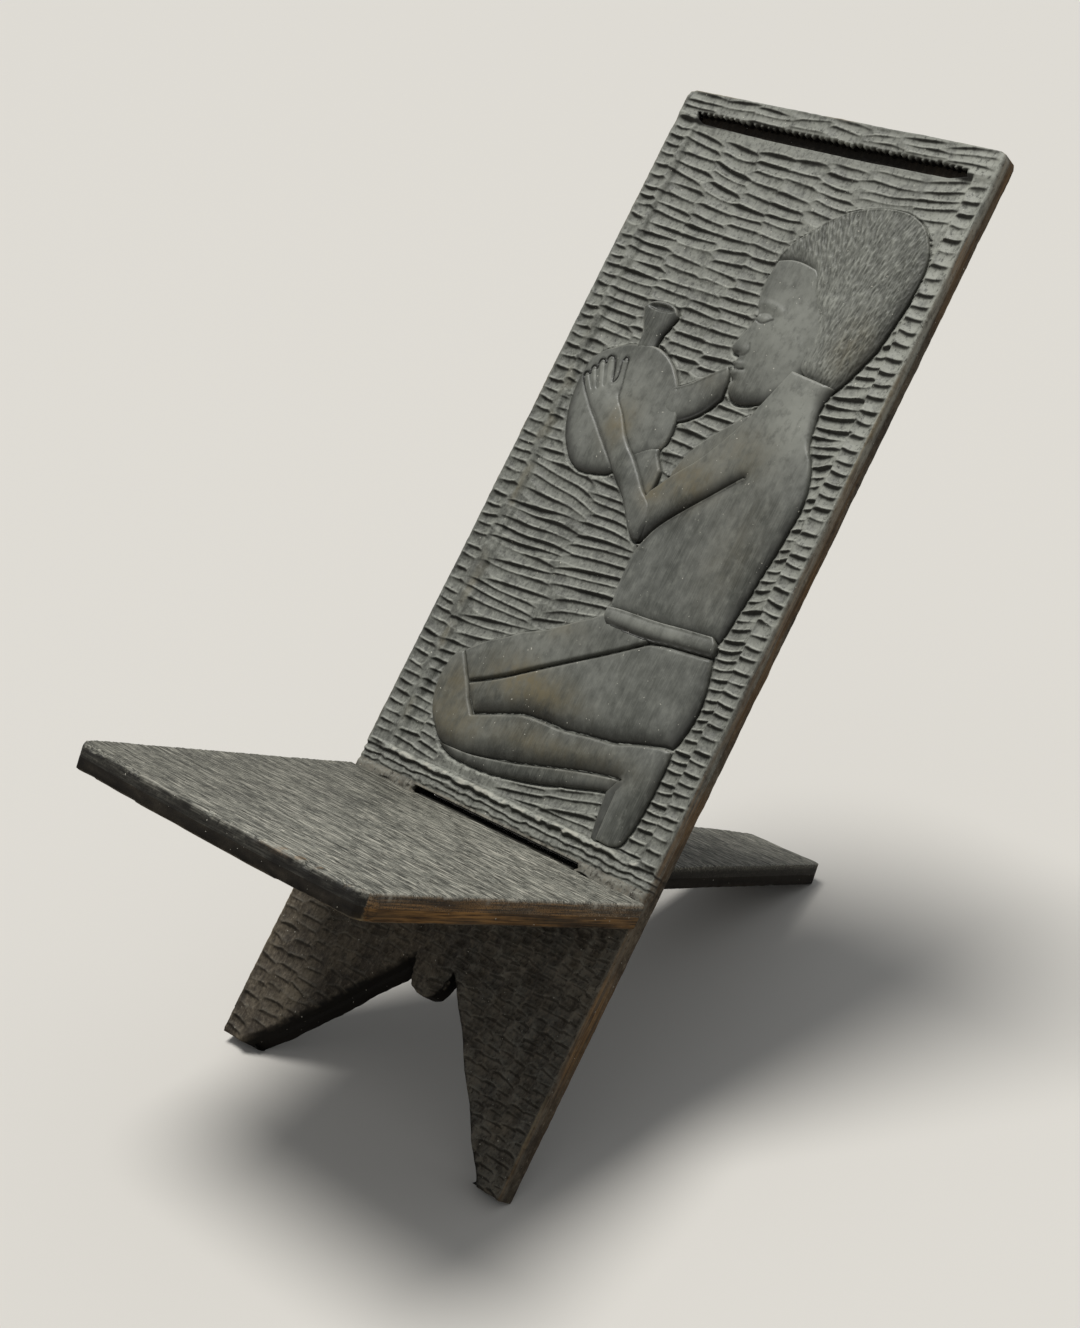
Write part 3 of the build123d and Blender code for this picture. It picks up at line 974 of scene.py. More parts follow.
def rubbed_and_highlit_rim(points, line, rolled):
    """A thin pale line along a crisp upper edge, where light catches it: a painted highlight, with
    the stain rubbed thin in patches.
    """
    far, place_on = nearest(points[:, :2], line)
    patchy = 0.5 + 0.5 * unevenness(points[:, :2], 9, 7)
    crisp = 1 - at_place(rolled, place_on)
    on_top = ramp(points[:, 2], RIM_LEVEL, RIM_LEVEL + 1.6)
    return (1 - ramp(far, 0.2, 1.5)) * crisp * patchy * on_top


# Hands and backs have rubbed the stain to brown here: x, y, reach across and up, strength.
RUB_SPOTS = [
    (25, 565, 30, 24, 0.8), (-66, 592, 17, 24, 0.85), (60, 600, 34, 26, 0.4),
    (-45, 365, 40, 24, 0.7), (-10, 362, 46, 18, 0.7), (-85, 312, 40, 20, 0.75),
    (5, 322, 54, 14, 0.6), (108, 706, 20, 30, 0.5), (-5, 548, 14, 20, 0.8),
    (-100, 342, 22, 22, 0.6), (90, 520, 30, 60, 0.2), (-40, 420, 40, 16, 0.5),
    (70, 330, 40, 16, 0.35), (0, 650, 30, 14, 0.2),
]
# And painted light makes it paler here, as if more brightly lit.
PAINTED_LIGHT_SPOTS = [
    (35, 700, 44, 56, 0.42), (92, 640, 44, 54, 0.62), (-72, 610, 62, 60, 0.34),
    (76, 770, 80, 90, 0.4), (40, 590, 46, 36, 0.24), (-40, 400, 76, 34, 0.26),
    (-60, 320, 60, 30, 0.2), (60, 395, 60, 40, 0.14), (60, 442, 60, 12, 0.44),
]


def strengths(points, spots):
    """What the spots come to at each point."""
    total = np.zeros(len(points))
    for x, y, across, up, strength in spots:
        total += strength * swelling(points[:, :2], (x, y), (across, up))
    return total


def cup_shape(points):
    """The gourd's flared mouth: a raised lip round a hollow."""
    spot = (points - (-80.6, 697.0)) / (15.6, 3.4)
    ring = np.hypot(*spot.T)
    hollow = -2.6 * (1 - ramp(ring, 0.55, 1.0))
    narrow = -0.9 * swelling(points, (-78.6, 668), (30, 12))
    return hollow + narrow


def spout_shape(points):
    """Round across, from the gourd to the lips."""
    start, end = np.array((-28.0, 620.0)), np.array((11.5, 652.0))
    run = (end - start) / np.hypot(*(end - start))
    aside = (points - start) @ np.array((-run[1], run[0]))
    return -1.6 * np.clip(np.abs(aside) / 13, 0, 1.2) ** 2


def torso_shape(points):
    """The upper arm stands out, and the torso falls away to the spine and to the belly."""
    x, y = points.T
    arm = crease(points, [(-4, 520), (20, 553), (60, 604)], 22)
    return 0.5 * arm - 0.5 * ramp(x, 92, 130) - 0.9 * (1 - ramp(x, 3, 22)) * (y < 500)


def beside_fingers(points):
    """0 along the middle of each finger, and 1 from its edge on."""
    across = np.full(len(points), 9.0)
    for joints, half_width in FINGERS:
        aside = distance(points, stroke(joints, 4), closed=False)
        across = np.minimum(across, aside / half_width)
    on_fingers = ramp(points[:, 1] - 0.62 * points[:, 0], 674, 683) * (points[:, 0] < -78)
    return on_fingers * np.clip(across, 0, 1.15)


def forearm_shape(points):
    """Round along the forearm, and a valley between each finger and the next."""
    round_over = 1.3 * crease(points, [(-6, 522), (-40, 560), (-92, 606)], 17) - 0.5
    return round_over - 2.2 * beside_fingers(points) ** 3


# Painted shade in the grooves between the fingers.
def between_fingers(points):
    return 0.85 * ramp(beside_fingers(points), 0.74, 1.0)


# A painted highlight on the fingertips.
def fingertips(points):
    return 0.5 * swelling(points, (-106, 632), (20, 18)) * (1 - between_fingers(points))


BELT_LINE = [(5, 441), (60, 442.4), (118, 447)]


def belt_shape(points):
    """Round, like a rolled cloth."""
    aside = distance(points, stroke(BELT_LINE, 4), closed=False)
    return -3.2 * np.clip(aside / 9.5, 0, 1.1) ** 2


def belt_underside_shade(points):
    """Painted shade along the belt's underside."""
    below = np.interp(points[:, 0], *zip(*BELT_LINE)) - points[:, 1]
    return 0.75 * ramp(below, 0.5, 8)


def foot_taper(line):
    """The foot ends square, and rolls over less than the shin does."""
    return (1 - 0.6 * ramp(line[:, 0], 84, 96)) * ramp(line[:, 1], 275, 284)


# Painted shade, even over the foot's bevel.
def bevel_shade(points):
    return np.full(len(points), 0.5)


def far_thigh_shape(points):
    return -0.5 * crease(points, [(6, 441), (-38, 413), (-73, 395), (-107, 371)], 7)


TICK_COUNT = 3600


def hair_ticks():
    """Short chisel ticks all over the cap, steep, and following its edge lower down."""
    relief = blank_map((-2, 660), (142, 832))
    chance = np.random.default_rng(41)
    for _ in range(TICK_COUNT):
        x, y = chance.uniform((0, 664), (140, 830))
        lean = 114 - 34 * float(np.clip((x - 40) / 60, 0, 1))
        gouge(
            relief, x, y, chance.uniform(7, 15), math.radians(lean + chance.normal(0, 4)),
            rise=0.9, fall=1.3, depth=chance.uniform(0.4, 1.1),
        )
    return relief


HAIR_TICKS = hair_ticks()


def hair_shape(points):
    smooth_front = crease(points, [(41, 757.6), (57, 730), (67, 709), (73, 679)], 11)
    return read_map(HAIR_TICKS, points) * (1 - 0.7 * smooth_front) - 0.9 * smooth_front


# Painted highlights on the crests between the chisel ticks.
def hair_crests(points):
    return 0.4 * ramp(read_map(HAIR_TICKS, points), -0.5, -0.1)


# Painted shade in the chisel ticks.
def hair_hollows(points):
    return 0.55 * ramp(-read_map(HAIR_TICKS, points), 0.55, 1.1)


carve_form(
    "gourd", -0.4, FIGURE_WOOD, roll=17, drop=4.4, swell=1.4, under=("forearm", 1.0),
    toward=GOURD_TOWARD, rim=1.1
)
carve_form("gourd_cup", -0.9, FIGURE_WOOD, roll=11, cell=0.8, shape=cup_shape, rim=1.0)
carve_form("gourd_spout", -0.7, FIGURE_WOOD, roll=14, cell=0.9, shape=spout_shape)
carve_form("arm_bevel", -2.2, FIGURE_WOOD, roll=2, drop=2)
carve_form("far_arm", -2.0, FIGURE_WOOD, roll=2, drop=1.5, under=("forearm", 1.0))
carve_form("torso", 0.1, FIGURE_WOOD, roll=13, drop=5.0, shape=torso_shape, swell=1.4)
carve_form(
    "forearm", 0.4, FIGURE_WOOD, roll=9, drop=3.6, edge=2.6, cell=0.7, shape=forearm_shape,
    painted_shade=between_fingers, rub_and_highlight=fingertips, rim=0.15
)
carve_form(
    "belt_roll", 1.3, FIGURE_WOOD, roll=5, drop=3.4, cell=0.9, shape=belt_shape, painted_shade=belt_underside_shade
)
carve_form("far_thigh", -0.6, FIGURE_WOOD, roll=3, drop=2.8, shape=far_thigh_shape, swell=0.8)
carve_form("near_thigh", 0.6, FIGURE_WOOD, roll=24, drop=5.6, swell=1.6, under=("belt_roll", 2.2))
carve_form("far_shin", -1.8, FIGURE_WOOD, roll=12, drop=3.4, cell=0.9)
carve_form("shin", 0.6, FIGURE_WOOD, roll=24, drop=5.6, swell=2.0, taper=foot_taper)
carve_form("foot_bevel", -2.2, FIGURE_WOOD, roll=2, drop=1.5, painted_shade=bevel_shade)
carve_form(
    "head", -1.2, FIGURE_WOOD, roll=17, drop=4.6, cell=0.8, shape=face_shape, swell=0.6,
    painted_shade=face_lines
)
carve_form(
    "hair_cap", 0.2, HAIR_WOOD, roll=16, drop=4.2, edge=2.0, cell=0.52, shape=hair_shape,
    swell=1.2, painted_shade=hair_hollows, rub_and_highlight=hair_crests
)

# ---------------------------------------------------------------- the back plank

ROUNDED, CUT_OFF = 7, 2  # a rounded corner's reach, and how far in its middle lies
FOOT_X, TOP_X = BACK_FOOT_WIDTH / 2, BACK_WIDTH / 2
BACK_OUTLINE = outline(
    [(-FOOT_X, 0), (FOOT_X, 0)],
    [(FOOT_X, 0), (TOP_X, BACK_LENGTH - ROUNDED)],
    [(TOP_X, BACK_LENGTH - ROUNDED), (TOP_X - CUT_OFF, BACK_LENGTH - CUT_OFF),
     (TOP_X - ROUNDED, BACK_LENGTH)],
    [(TOP_X - ROUNDED, BACK_LENGTH), (ROUNDED - TOP_X, BACK_LENGTH)],
    [(ROUNDED - TOP_X, BACK_LENGTH), (CUT_OFF - TOP_X, BACK_LENGTH - CUT_OFF),
     (-TOP_X, BACK_LENGTH - ROUNDED)],
    [(-TOP_X, BACK_LENGTH - ROUNDED), (-FOOT_X, 0)],
    step=60,
)
# The legs' inner faces were hewn on a slant, so the gap is narrower at the plank's back. The two
# lines have the same points, one on each face.
LEG_GAP = np.array([
    (-137, -2), (137, -2), (131, 9), (114, 28), (98, 51), (79, 72), (62, 96), (48, 111), (40, 121),
    (33, 130), (28, 134), (26, 126), (24, 117), (19, 108), (12, 104.6), (4, 105), (-3, 108),
    (-8, 116), (-10, 125), (-13, 134), (-20, 129), (-30, 116), (-46, 98), (-62, 80), (-82, 57),
    (-99, 40), (-113, 24), (-125, 13),
], float)
REAR_LEG_GAP = LEG_GAP + np.array([
    (11, 0), (-8, -2), (-9, -5), (-9, -7), (-9, -7), (-9, -7), (-9, -7), (-8, -7), (-8, -8),
    (-5, -10), (-3, -9), (-2, -5), (-2, -2), (-1, -1), (-1, -1), (-1, -1), (-1, -1), (-1, -3),
    (-1, -8), (1, -13), (4, -13), (9, -9), (9, -7), (9, -8), (9, -7), (9, -8), (9, -7), (9, -6),
], float)
SLOT = outline(
    [(-88.5, 223.7), (88.5, 223.7)],
    [(88.5, 223.7), (88.5, 246), (91.5, 248), (90, 251.7), (86, 251.7)],
    [(86, 251.7), (-86, 251.7)],
    [(-86, 251.7), (-90.5, 251.7), (-91.5, 247.5), (-88.5, 245.5), (-88.5, 223.7)],
    step=8,
)


SCALLOP_WIDTH, SCALLOP_HEIGHT = 6.4, 3.4


def slit_line():
    """The deep slit under the top border. A gouge left its upper edge in little scallops."""
    chance = np.random.default_rng(3)
    upper = []
    x = 133.5
    while x > -138:
        width = SCALLOP_WIDTH * chance.uniform(0.85, 1.15)
        y = 869.8 - 0.4 * x / 138 + chance.normal(0, 0.3)
        top = y + SCALLOP_HEIGHT
        upper += [(x, y), (x - 0.25 * width, top), (x - 0.72 * width, top)]
        x -= width
    lower = [(-139.5, 868), (-132, 864.4), (-60, 862.4), (40, 861.8), (118, 862.8), (133.5, 866)]
    return np.array(upper + lower)


SLIT = slit_line()
REAR_SLOT = np.array([
    (-85.2, 223.7), (85.2, 223.7), (85.2, 249.4), (83.2, 251.5), (-83.2, 251.5), (-85.2, 249.4),
])
MIDDLE_SLOT = REAR_SLOT * (1.014, 1)  # the tongue tapers, and so does its slot


def ground_level(points):
    """The levels that the cuts are made in: the borders, the strip inside the left one and the
    sunk field."""
    x, y = points.T
    wander = unevenness(points, (40, 11), 13)  # of the steps between them

    def line_at(table):
        return np.interp(y, *zip(*table))

    in_strip = ramp(x - line_at(BORDER_LINE) + 2.0 * wander, -1.6, 1.9)
    in_field = ramp(x - line_at(FIELD_LINE) + 2.2 * wander, -1.4, 2.2)
    in_field *= 1 - ramp(x - line_at(RIGHT_LINE) + 0.8 * wander, -1.0, 1.4)
    in_right_border = ramp(x - line_at(RIGHT_LINE), -0.5, 0.5)
    framed = ramp(y, FIELD_FOOT - 0.6, FIELD_FOOT + 3.0) * (1 - ramp(y, 862, 870))
    level = STRIP_LEVEL * in_strip * (1 - in_right_border) + (FIELD_LEVEL - STRIP_LEVEL) * in_field
    level = level * framed - RIGHT_BORDER_DROP * in_right_border
    return level - UNDER_SLIT_DROP * framed * ramp(y, 848, 862)


def foot_of_field(points):
    """The worn ridge across the foot of the field, and the steps from it down to the slot."""
    x, y = points.T
    beads = 0.7 * unevenness(points, (5.5, 4), 9) + 0.5 * unevenness(points, (17, 9), 10)
    lumpy = 1.5 + 1.0 * unevenness(points, (3.6, 4.5), 15)
    level = lumpy * np.exp(-((y - RIDGE + 1.3 * beads) / RIDGE_WIDTH) ** 2)
    level *= np.abs(x) < RIDGE_END
    for step, depth in STEPS_BELOW_RIDGE:
        below = y - step + 1.7 * beads
        level -= depth * ramp(below, 2.8, 0.0) * ramp(below, -4.6, -0.2) * (y < 270)
    return level - 0.5 * ramp(y, 180, 250) * (1 - ramp(y, 250, 266))  # rubbed over the slot


def carve_ground():
    """The heights of the whole face: borders, sunk field, and every gouge cut."""
    relief = blank_map(*FACE_SPAN, waver=1.1)
    points = map_points(relief)
    x, y = points.T
    chance = np.random.default_rng(17)
    for column in GROUND_COLUMNS:
        gouge_column(relief, chance, *column)
    for column in LEG_COLUMNS:
        gouge_column(relief, chance, *column, waver=2.2)
    to_edge = np.minimum(side_at(y) - np.abs(x), BACK_LENGTH - y + 1.5)
    cuts = relief[1].ravel() * (1 + 0.2 * unevenness(points, 24, 8)) * (
        0.08 + 0.92 * ramp(to_edge, 0.5, 6.5)
    )
    rough = 0.11 + 0.1 * (1 - ramp(y, 262, 274))
    heights = ground_level(points) + foot_of_field(points) + cuts
    heights += 0.12 * unevenness(points, 5, 11)
    heights += rough * (unevenness(points, (1.7, 3.4), 12) + unevenness(points, (3.6, 1.6), 14))
    relief[1][:] = heights.reshape(relief[1].shape)
    return relief


DEEPEST_CUT = -9.0
STOP_REACH = 5  # how far round a form its stop cut is worked
LOWERED_ABOVE = 480  # above this, the ground round the forms is pared down to the stop cut


def stop_cut(relief, line):
    """The cut that sets a form off from the ground: deep below and to the right, a nick above."""
    low, heights = relief[:2]
    first = np.floor((line.min(0) - STOP_REACH - low) / MAP_STEP).astype(int)
    last = np.ceil((line.max(0) + STOP_REACH - low) / MAP_STEP).astype(int)
    window = heights[first[1]:last[1], first[0]:last[0]]
    c, r = np.meshgrid(np.arange(first[0], last[0]), np.arange(first[1], last[1]))
    points = low + MAP_STEP * np.stack([c.ravel(), r.ravel()], 1)
    far, place_on = nearest(points, line)
    share = at_place(rolled_share(line), place_on)
    depth = 0.9 + 1.5 * share
    sunk = depth * (1 - ramp(far / (2.2 + 0.6 * share), 0.1, 1))
    sunk = np.maximum(sunk, inside(points, line) * 2.2 * ramp(far, 0.3, 1.5))  # under the form
    evened = 0.75 * (1 - ramp(far, 0.5, STOP_REACH)).reshape(window.shape) * (window < FIELD_LEVEL)
    window += (FIELD_LEVEL - 1.3 - window) * evened
    pared = FIELD_LEVEL - 0.3 + 0.8 * np.maximum(far - 1, 0)
    ceiling = np.where(points[:, 1] > LOWERED_ABOVE, pared, np.inf)
    np.minimum(window, ceiling.reshape(window.shape), out=window)
    window -= sunk.reshape(window.shape)


GROUND = carve_ground()
for strokes in BACK_FORMS.values():
    stop_cut(GROUND, outline(*strokes, step=4))
np.maximum(GROUND[1], DEEPEST_CUT, out=GROUND[1])


def worn_arris(points, line, size, seed):
    """How far an arris is rounded away, more in some places than in others."""
    lumps, nicks = unevenness(points, 21, seed), unevenness(points, 4, seed + 1)
    round_off = size * (1 + 0.3 * lumps + 0.2 * nicks)
    t = np.clip(distance(points, line) / round_off, 0, 1)
    return round_off * (1 - np.sqrt(1 - (1 - t) ** 2))


NEAR_SIDE = 150  # an edge further across than this is the plank's side


def ground_painted_shade(points):
    """Painted shade: dark on the steep side of each cut, in the deepest cuts round the forms, on
    the walls of openings, and on all that lies more than about 9 mm into the plank: the floors
    seen through the openings and most of the plank's rear.
    """
    flat = points[:, :2]
    above = read_map(GROUND, flat + (0, 0.6)) - read_map(GROUND, flat - (0, 0.6))
    steep = ramp(above, 0.14, 0.85) * (0.66 + 0.24 * ramp(flat[:, 1], 225, 235))
    openings = inside(flat, LEG_GAP) | (distance(flat, LEG_GAP) < 0.3)
    openings |= (distance(flat, SLOT) < 0.4) | (distance(flat, SLIT) < 0.4)
    inside_plank = ramp(-points[:, 2], 8.8, 9.6) * (np.abs(points[:, 0]) < NEAR_SIDE)
    return np.maximum(np.maximum(steep, inside_plank), openings * ramp(-points[:, 2], 0.8, 3.0))


def ground_rubbed(points):
    """Pale where the plank's long arrises are rubbed."""
    far = distance(points, BACK_OUTLINE)
    patchy = 0.5 + 0.5 * unevenness(points[:, :2], (30, 60), 21)
    return (1 - ramp(far, 0.2, 1.7)) * ramp(points[:, 2], -2.8, -1.4) * ramp(patchy, 0.35, 0.75)


def ground_painted_light_and_wear(points):
    """Painted light: paler up the plank, at the right and on the legs to the right, under the
    seat, with painted highlights on the crests between cuts; and a pale band about the slot and
    a pale worn ridge.
    """
    x, y, h = points.T
    flat = points[:, :2]
    aside = read_map(GROUND, flat + (0, 2.2)) + read_map(GROUND, flat - (0, 2.2))
    crest = ramp(read_map(GROUND, flat) - aside / 2, 0.1, 0.7)
    upper = 0.24 + 0.34 * ramp(y, 480, 880) + 0.34 * ramp(x, 98, 140) * ramp(y, 300, 560)
    upper += 0.14 * ramp(x, 124, 142) * ramp(y, 540, 640)
    upper *= ramp(y, 226, 262)
    # Painted light on the legs to the right, where the seat's shadow lies.
    legs = 0.15 * ramp(x, -20, 40) * (1 + 0.7 * unevenness(flat, (6, 9), 29)) * ramp(y, 232, 220)
    slot_band = 0.3 * ramp(y, 226, 246) * (1 - ramp(y, 253.5, 254.5))
    ridge = 0.5 * ramp(h, -1.0, 0.8) * ramp(np.abs(y - RIDGE), 4.5, 3.0)
    # rubbed here is a painted highlight on the crests between cuts, far stronger above the slot.
    rubbed = crest * (0.12 + 0.6 * ramp(y, 240, 270)) * (0.8 + 0.4 * unevenness(flat, (9, 14), 25))
    return np.where(h > -9, upper + legs + slot_band + ridge + rubbed, 0)


def ridge_crumbled(points):
    """Pale crumbs of bare fibre along the ridge at the foot of the field."""
    x, y, h = points.T
    crumbs = ramp(unevenness(points[:, :2], (3.0, 2.4), 27), -0.2, 0.5)
    crumbs *= np.abs(x) < RIDGE_END - 5
    return 0.5 * crumbs * ramp(h, -0.9, 0.9) * ramp(np.abs(y - RIDGE), 5.4, 3.0)


def side_bare(points):
    """Brown where the stain is thin on the plank's sides."""
    far = distance(points, BACK_OUTLINE)
    on_side = (far < 0.3) & (np.abs(points[:, 0]) > NEAR_SIDE)
    thin = 0.24 + 0.36 * unevenness(points[:, [1, 2]], (40, 9), 23)
    return np.where(on_side, thin, 0)


def ground_worn(points):
    """Brown along the seam between the left border's cuts and the field's."""
    x, y = points[:, 0], points[:, 1]
    stray = 2.5 * unevenness(points[:, :2], (30, 12), 28)
    seam = ramp(np.abs(x - np.interp(y, *zip(*STRIP_LINE)) + stray), 6.5, 1) * ramp(y, 272, 320)
    here = ramp(unevenness(points[:, :2], (12, 22), 26), -0.3, 0.7)
    return 0.4 * seam * here * ramp(y, 700, 600)


BACK_MARKS = {
    "hollow": ground_painted_shade, "rubbed": ground_rubbed, "faded_and_painted_light": ground_painted_light_and_wear, "bare": side_bare,
    "worn": ground_worn, "crumbled": ridge_crumbled,
}
MID_DEPTH = -10.5
FACE_CELL = (1.3, 0.62)
REAR_CELL = (2.2, 2.2)
ON_LINE = 0.05  # a point this near a line is on it


def slant(bm, rim, at_depth):
    """Leans an opening's walls. rim is its line at the face, and at_depth(share) its line at that
    share of the plank's thickness."""
    points = np.array([v.co[:] for v in bm.verts])
    far, place_on = nearest(points[:, :2], rim)
    for v, on_rim, where, depth in zip(bm.verts, far < ON_LINE, place_on, -points[:, 2]):
        if on_rim:
            spot = at_place(at_depth(depth / BACK_THICKNESS), np.array([where]))[0]
            v.co.x, v.co.y = spot


def leg_gap_at(share):
    return LEG_GAP + (REAR_LEG_GAP - LEG_GAP) * np.clip(share, 0, 1)


def slot_at(share):
    """The rear half of the slot."""
    return MIDDLE_SLOT + (REAR_SLOT - MIDDLE_SLOT) * np.clip(2 * share - 1, 0, 1)


def face_strip(name, bottom, top, finish, openings=()):
    """A strip of the back plank's carved face, from one level up the plank to another."""
    foot = [(-side_at(bottom), bottom), (side_at(bottom), bottom)]
    if top < BACK_LENGTH:
        line = np.array([*foot, (side_at(top), top), (-side_at(top), top)])
    else:
        line = np.vstack([foot, BACK_OUTLINE[BACK_OUTLINE[:, 1] > BACK_LENGTH - ROUNDED - 1]])
    bm = trimmed_grid(
        [line, *openings], FACE_CELL, low=(-TOP_X, bottom), high=(TOP_X, top), sharp=line
    )
    points = flat_points(bm)
    heights = read_map(GROUND, points) - worn_arris(points, BACK_OUTLINE, 2.1, 31)
    for hole in openings:
        heights -= worn_arris(points, hole, 0.9, 33)
    set_heights(bm, heights)
    close_below(bm, MID_DEPTH, steps=2)
    if openings and openings[0] is LEG_GAP:
        slant(bm, LEG_GAP, leg_gap_at)
    return place(bm, name, BACK, "back", "ebonised_back", finish, BACK_MARKS)


face_strip("legs_and_slot_face", 0, 254, LEG_WOOD, [LEG_GAP, SLOT])
face_strip("lower_carved_ground", 254, 479, CARVED_GROUND)
face_strip("middle_carved_ground", 479, 685, CARVED_GROUND)
face_strip("upper_carved_ground", 685, BACK_LENGTH, CARVED_GROUND, [SLIT])


ADZE_SPACING = 17.0


def carve_plank_back():
    """The rear of the back plank, hewn flat with shallow adze cuts along it."""
    relief = blank_map(*FACE_SPAN)
    chance = np.random.default_rng(71)
    for x in np.arange(-TOP_X, TOP_X + 10, ADZE_SPACING):
        y = chance.uniform(0, 60)
        while y < BACK_LENGTH + 38:
            gouge(
                relief, x + chance.normal(0, 2), y, chance.uniform(62, 96),
                math.radians(90 + chance.normal(0, 2.5)), rise=10, fall=11,
                depth=chance.uniform(0.5, 0.9),
            )
            y += chance.uniform(42, 66)
    bm = trimmed_grid(
        [BACK_OUTLINE, REAR_LEG_GAP, REAR_SLOT], REAR_CELL, sharp=[*BACK_OUTLINE, *REAR_SLOT]
    )
    points = flat_points(bm)
    worn = worn_arris(points, BACK_OUTLINE, 1.8, 35) + worn_arris(points, REAR_LEG_GAP, 1.0, 37)
    cuts = read_map(relief, points) * ramp(distance(points, BACK_OUTLINE), 0.5, 8)
    heights = cuts + 0.1 * unevenness(points, 4, 39) - worn
    set_heights(bm, -BACK_THICKNESS - heights)
    close_below(bm, MID_DEPTH, steps=2)
    slant(bm, REAR_LEG_GAP, leg_gap_at)
    slant(bm, REAR_SLOT, slot_at)
    return place(bm, "hewn_rear", BACK, "back", "ebonised_back", LEG_WOOD, BACK_MARKS)


plank_rear = carve_plank_back()
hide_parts("back_plank")

# ---------------------------------------------------------------- the seat plank

SHOULDER_SLOPE = math.tan(BACK_LEAN - SEAT_TILT)  # the shoulders' bevel, forward for each mm down
SHOULDER_GAP = 0.25
ROOT, TAIL = 87.0, 41.0
SEAT_OUTLINE = outline(
    [(-ROOT, 0), (-162.5, 0)],
    [(-162.5, 0), (-155.4, -288)],
    [(-155.4, -288), (-154, -296), (-147, -303.6)],
    [(-147, -303.6), (-74, -307), (0, -308), (74, -307), (147, -303.6)],
    [(147, -303.6), (154, -296), (155.4, -288)],
    [(155.4, -288), (162.5, 0)],
    [(162.5, 0), (ROOT, 0)],
    [(ROOT, 0), (TAIL + 1, TONGUE_LENGTH - 6)],
    [(TAIL + 1, TONGUE_LENGTH - 6), (TAIL - 1, TONGUE_LENGTH - 1), (TAIL - 6, TONGUE_LENGTH)],
    [(TAIL - 6, TONGUE_LENGTH), (6 - TAIL, TONGUE_LENGTH)],
    [(6 - TAIL, TONGUE_LENGTH), (1 - TAIL, TONGUE_LENGTH - 1), (-TAIL - 1, TONGUE_LENGTH - 6)],
    [(-TAIL - 1, TONGUE_LENGTH - 6), (-ROOT, 0)],
    step=40,
)


SEAT_SPAN = (-166, -312), (166, 446)  # the whole top, and a little round it
SCORE_COUNT = 6800


def seat_scores():
    """Short scores across the seat and down the tongue, rougher to the right, left by a gouge."""
    relief = blank_map(*SEAT_SPAN)
    chance = np.random.default_rng(53)
    for _ in range(SCORE_COUNT):
        x, y = chance.uniform(*SEAT_SPAN)
        if y > 4 and abs(x) > ROOT:  # off the tongue
            continue
        rough = float(np.clip((x + 80) / 160, 0, 1))
        gouge(
            relief, x, y, chance.uniform(14, 44 - 16 * rough),
            math.radians(chance.normal(3, 4 + 6 * rough)),
            rise=1.0 + 0.4 * rough, fall=2.1 + 1.1 * rough,
            depth=chance.uniform(0.15, 0.45 + 0.35 * rough),
        )
    return relief


SEAT_SCORES = seat_scores()
UNDER_TOP = -3.0  # the seat's top and its worn arris lie above this


def bevel_shoulders(bm):
    """Leans the shoulders' walls to lie along the back plank's face."""
    for v in bm.verts:
        if abs(v.co.x) > ROOT + SLIVER:
            v.co.y = min(v.co.y, -SHOULDER_GAP + SHOULDER_SLOPE * v.co.z)


def front_chips(points):
    """How deep splinters are knocked off the front arris."""
    far = distance(points, SEAT_OUTLINE)
    flat = points[:, :2]
    knocked = ramp(unevenness(flat, (11, 40), 61) + 0.4 * unevenness(flat, 3, 62), 0, 0.9)
    reach = 3.0 + 4.0 * knocked
    return 3.6 * knocked * (1 - ramp(far, 0.3 * reach, reach)) * (points[:, 1] < -290)


def right_side(points):
    """True on the seat's right side, between its rounded corner and the shoulder."""
    x, y = points[:, :2].T
    far = distance(points, SEAT_OUTLINE)
    return (far < 0.4) & (x > 152) & (y < 0) & (y > -298)


def seat_bare(points):
    """The right side is worn to bare wood, and the front's right end has lost splinters."""
    x, y, h = points.T
    thin = 0.8 + 0.25 * unevenness(points[:, [1, 2]], (50, 5), 63) - 0.25 * ramp(y, -200, 0)
    splinters = (y < -300) * ramp(x, 40, 70) * ramp(-h, 8, 2) * ramp(
        unevenness(points[:, [0, 2]], (9, 3), 66), 0.1, 0.6
    )
    return np.where(right_side(points), thin, 0.7 * splinters)


def seat_rubbed(points):
    """Pale along the arrises that show, and a fleck of old paint."""
    x, y, h = points.T
    patchy = 0.5 + 0.5 * unevenness(points[:, :2], 14, 64)
    far = distance(points, SEAT_OUTLINE)
    arris = (1 - ramp(far, 0.4, 2.4)) * ramp(h, -2.6, -1.2) * ramp(patchy, 0.3, 0.7)
    arris *= np.where((x > 140) & (y < 0), 1.0, 0.4) * (y < -3)
    fleck = ramp(swelling(points[:, :2], (34, -267), (3.2, 2.2)), 0.45, 0.6) * (h > UNDER_TOP)
    fleck += (x > 149) * (y < -297) * ramp(-h, 17.5, 19.5)
    return np.maximum(arris, fleck)


def seat_paler_to_the_right(points):
    """Paler to the middle and right of the board's top, and on the tongue's top."""
    x, y, h = points.T
    paler_across = 0.12 + 0.3 * ramp(x, -110, 60)
    return np.where((h > UNDER_TOP) & (y < 0), paler_across, 0.22 * (h > UNDER_TOP))


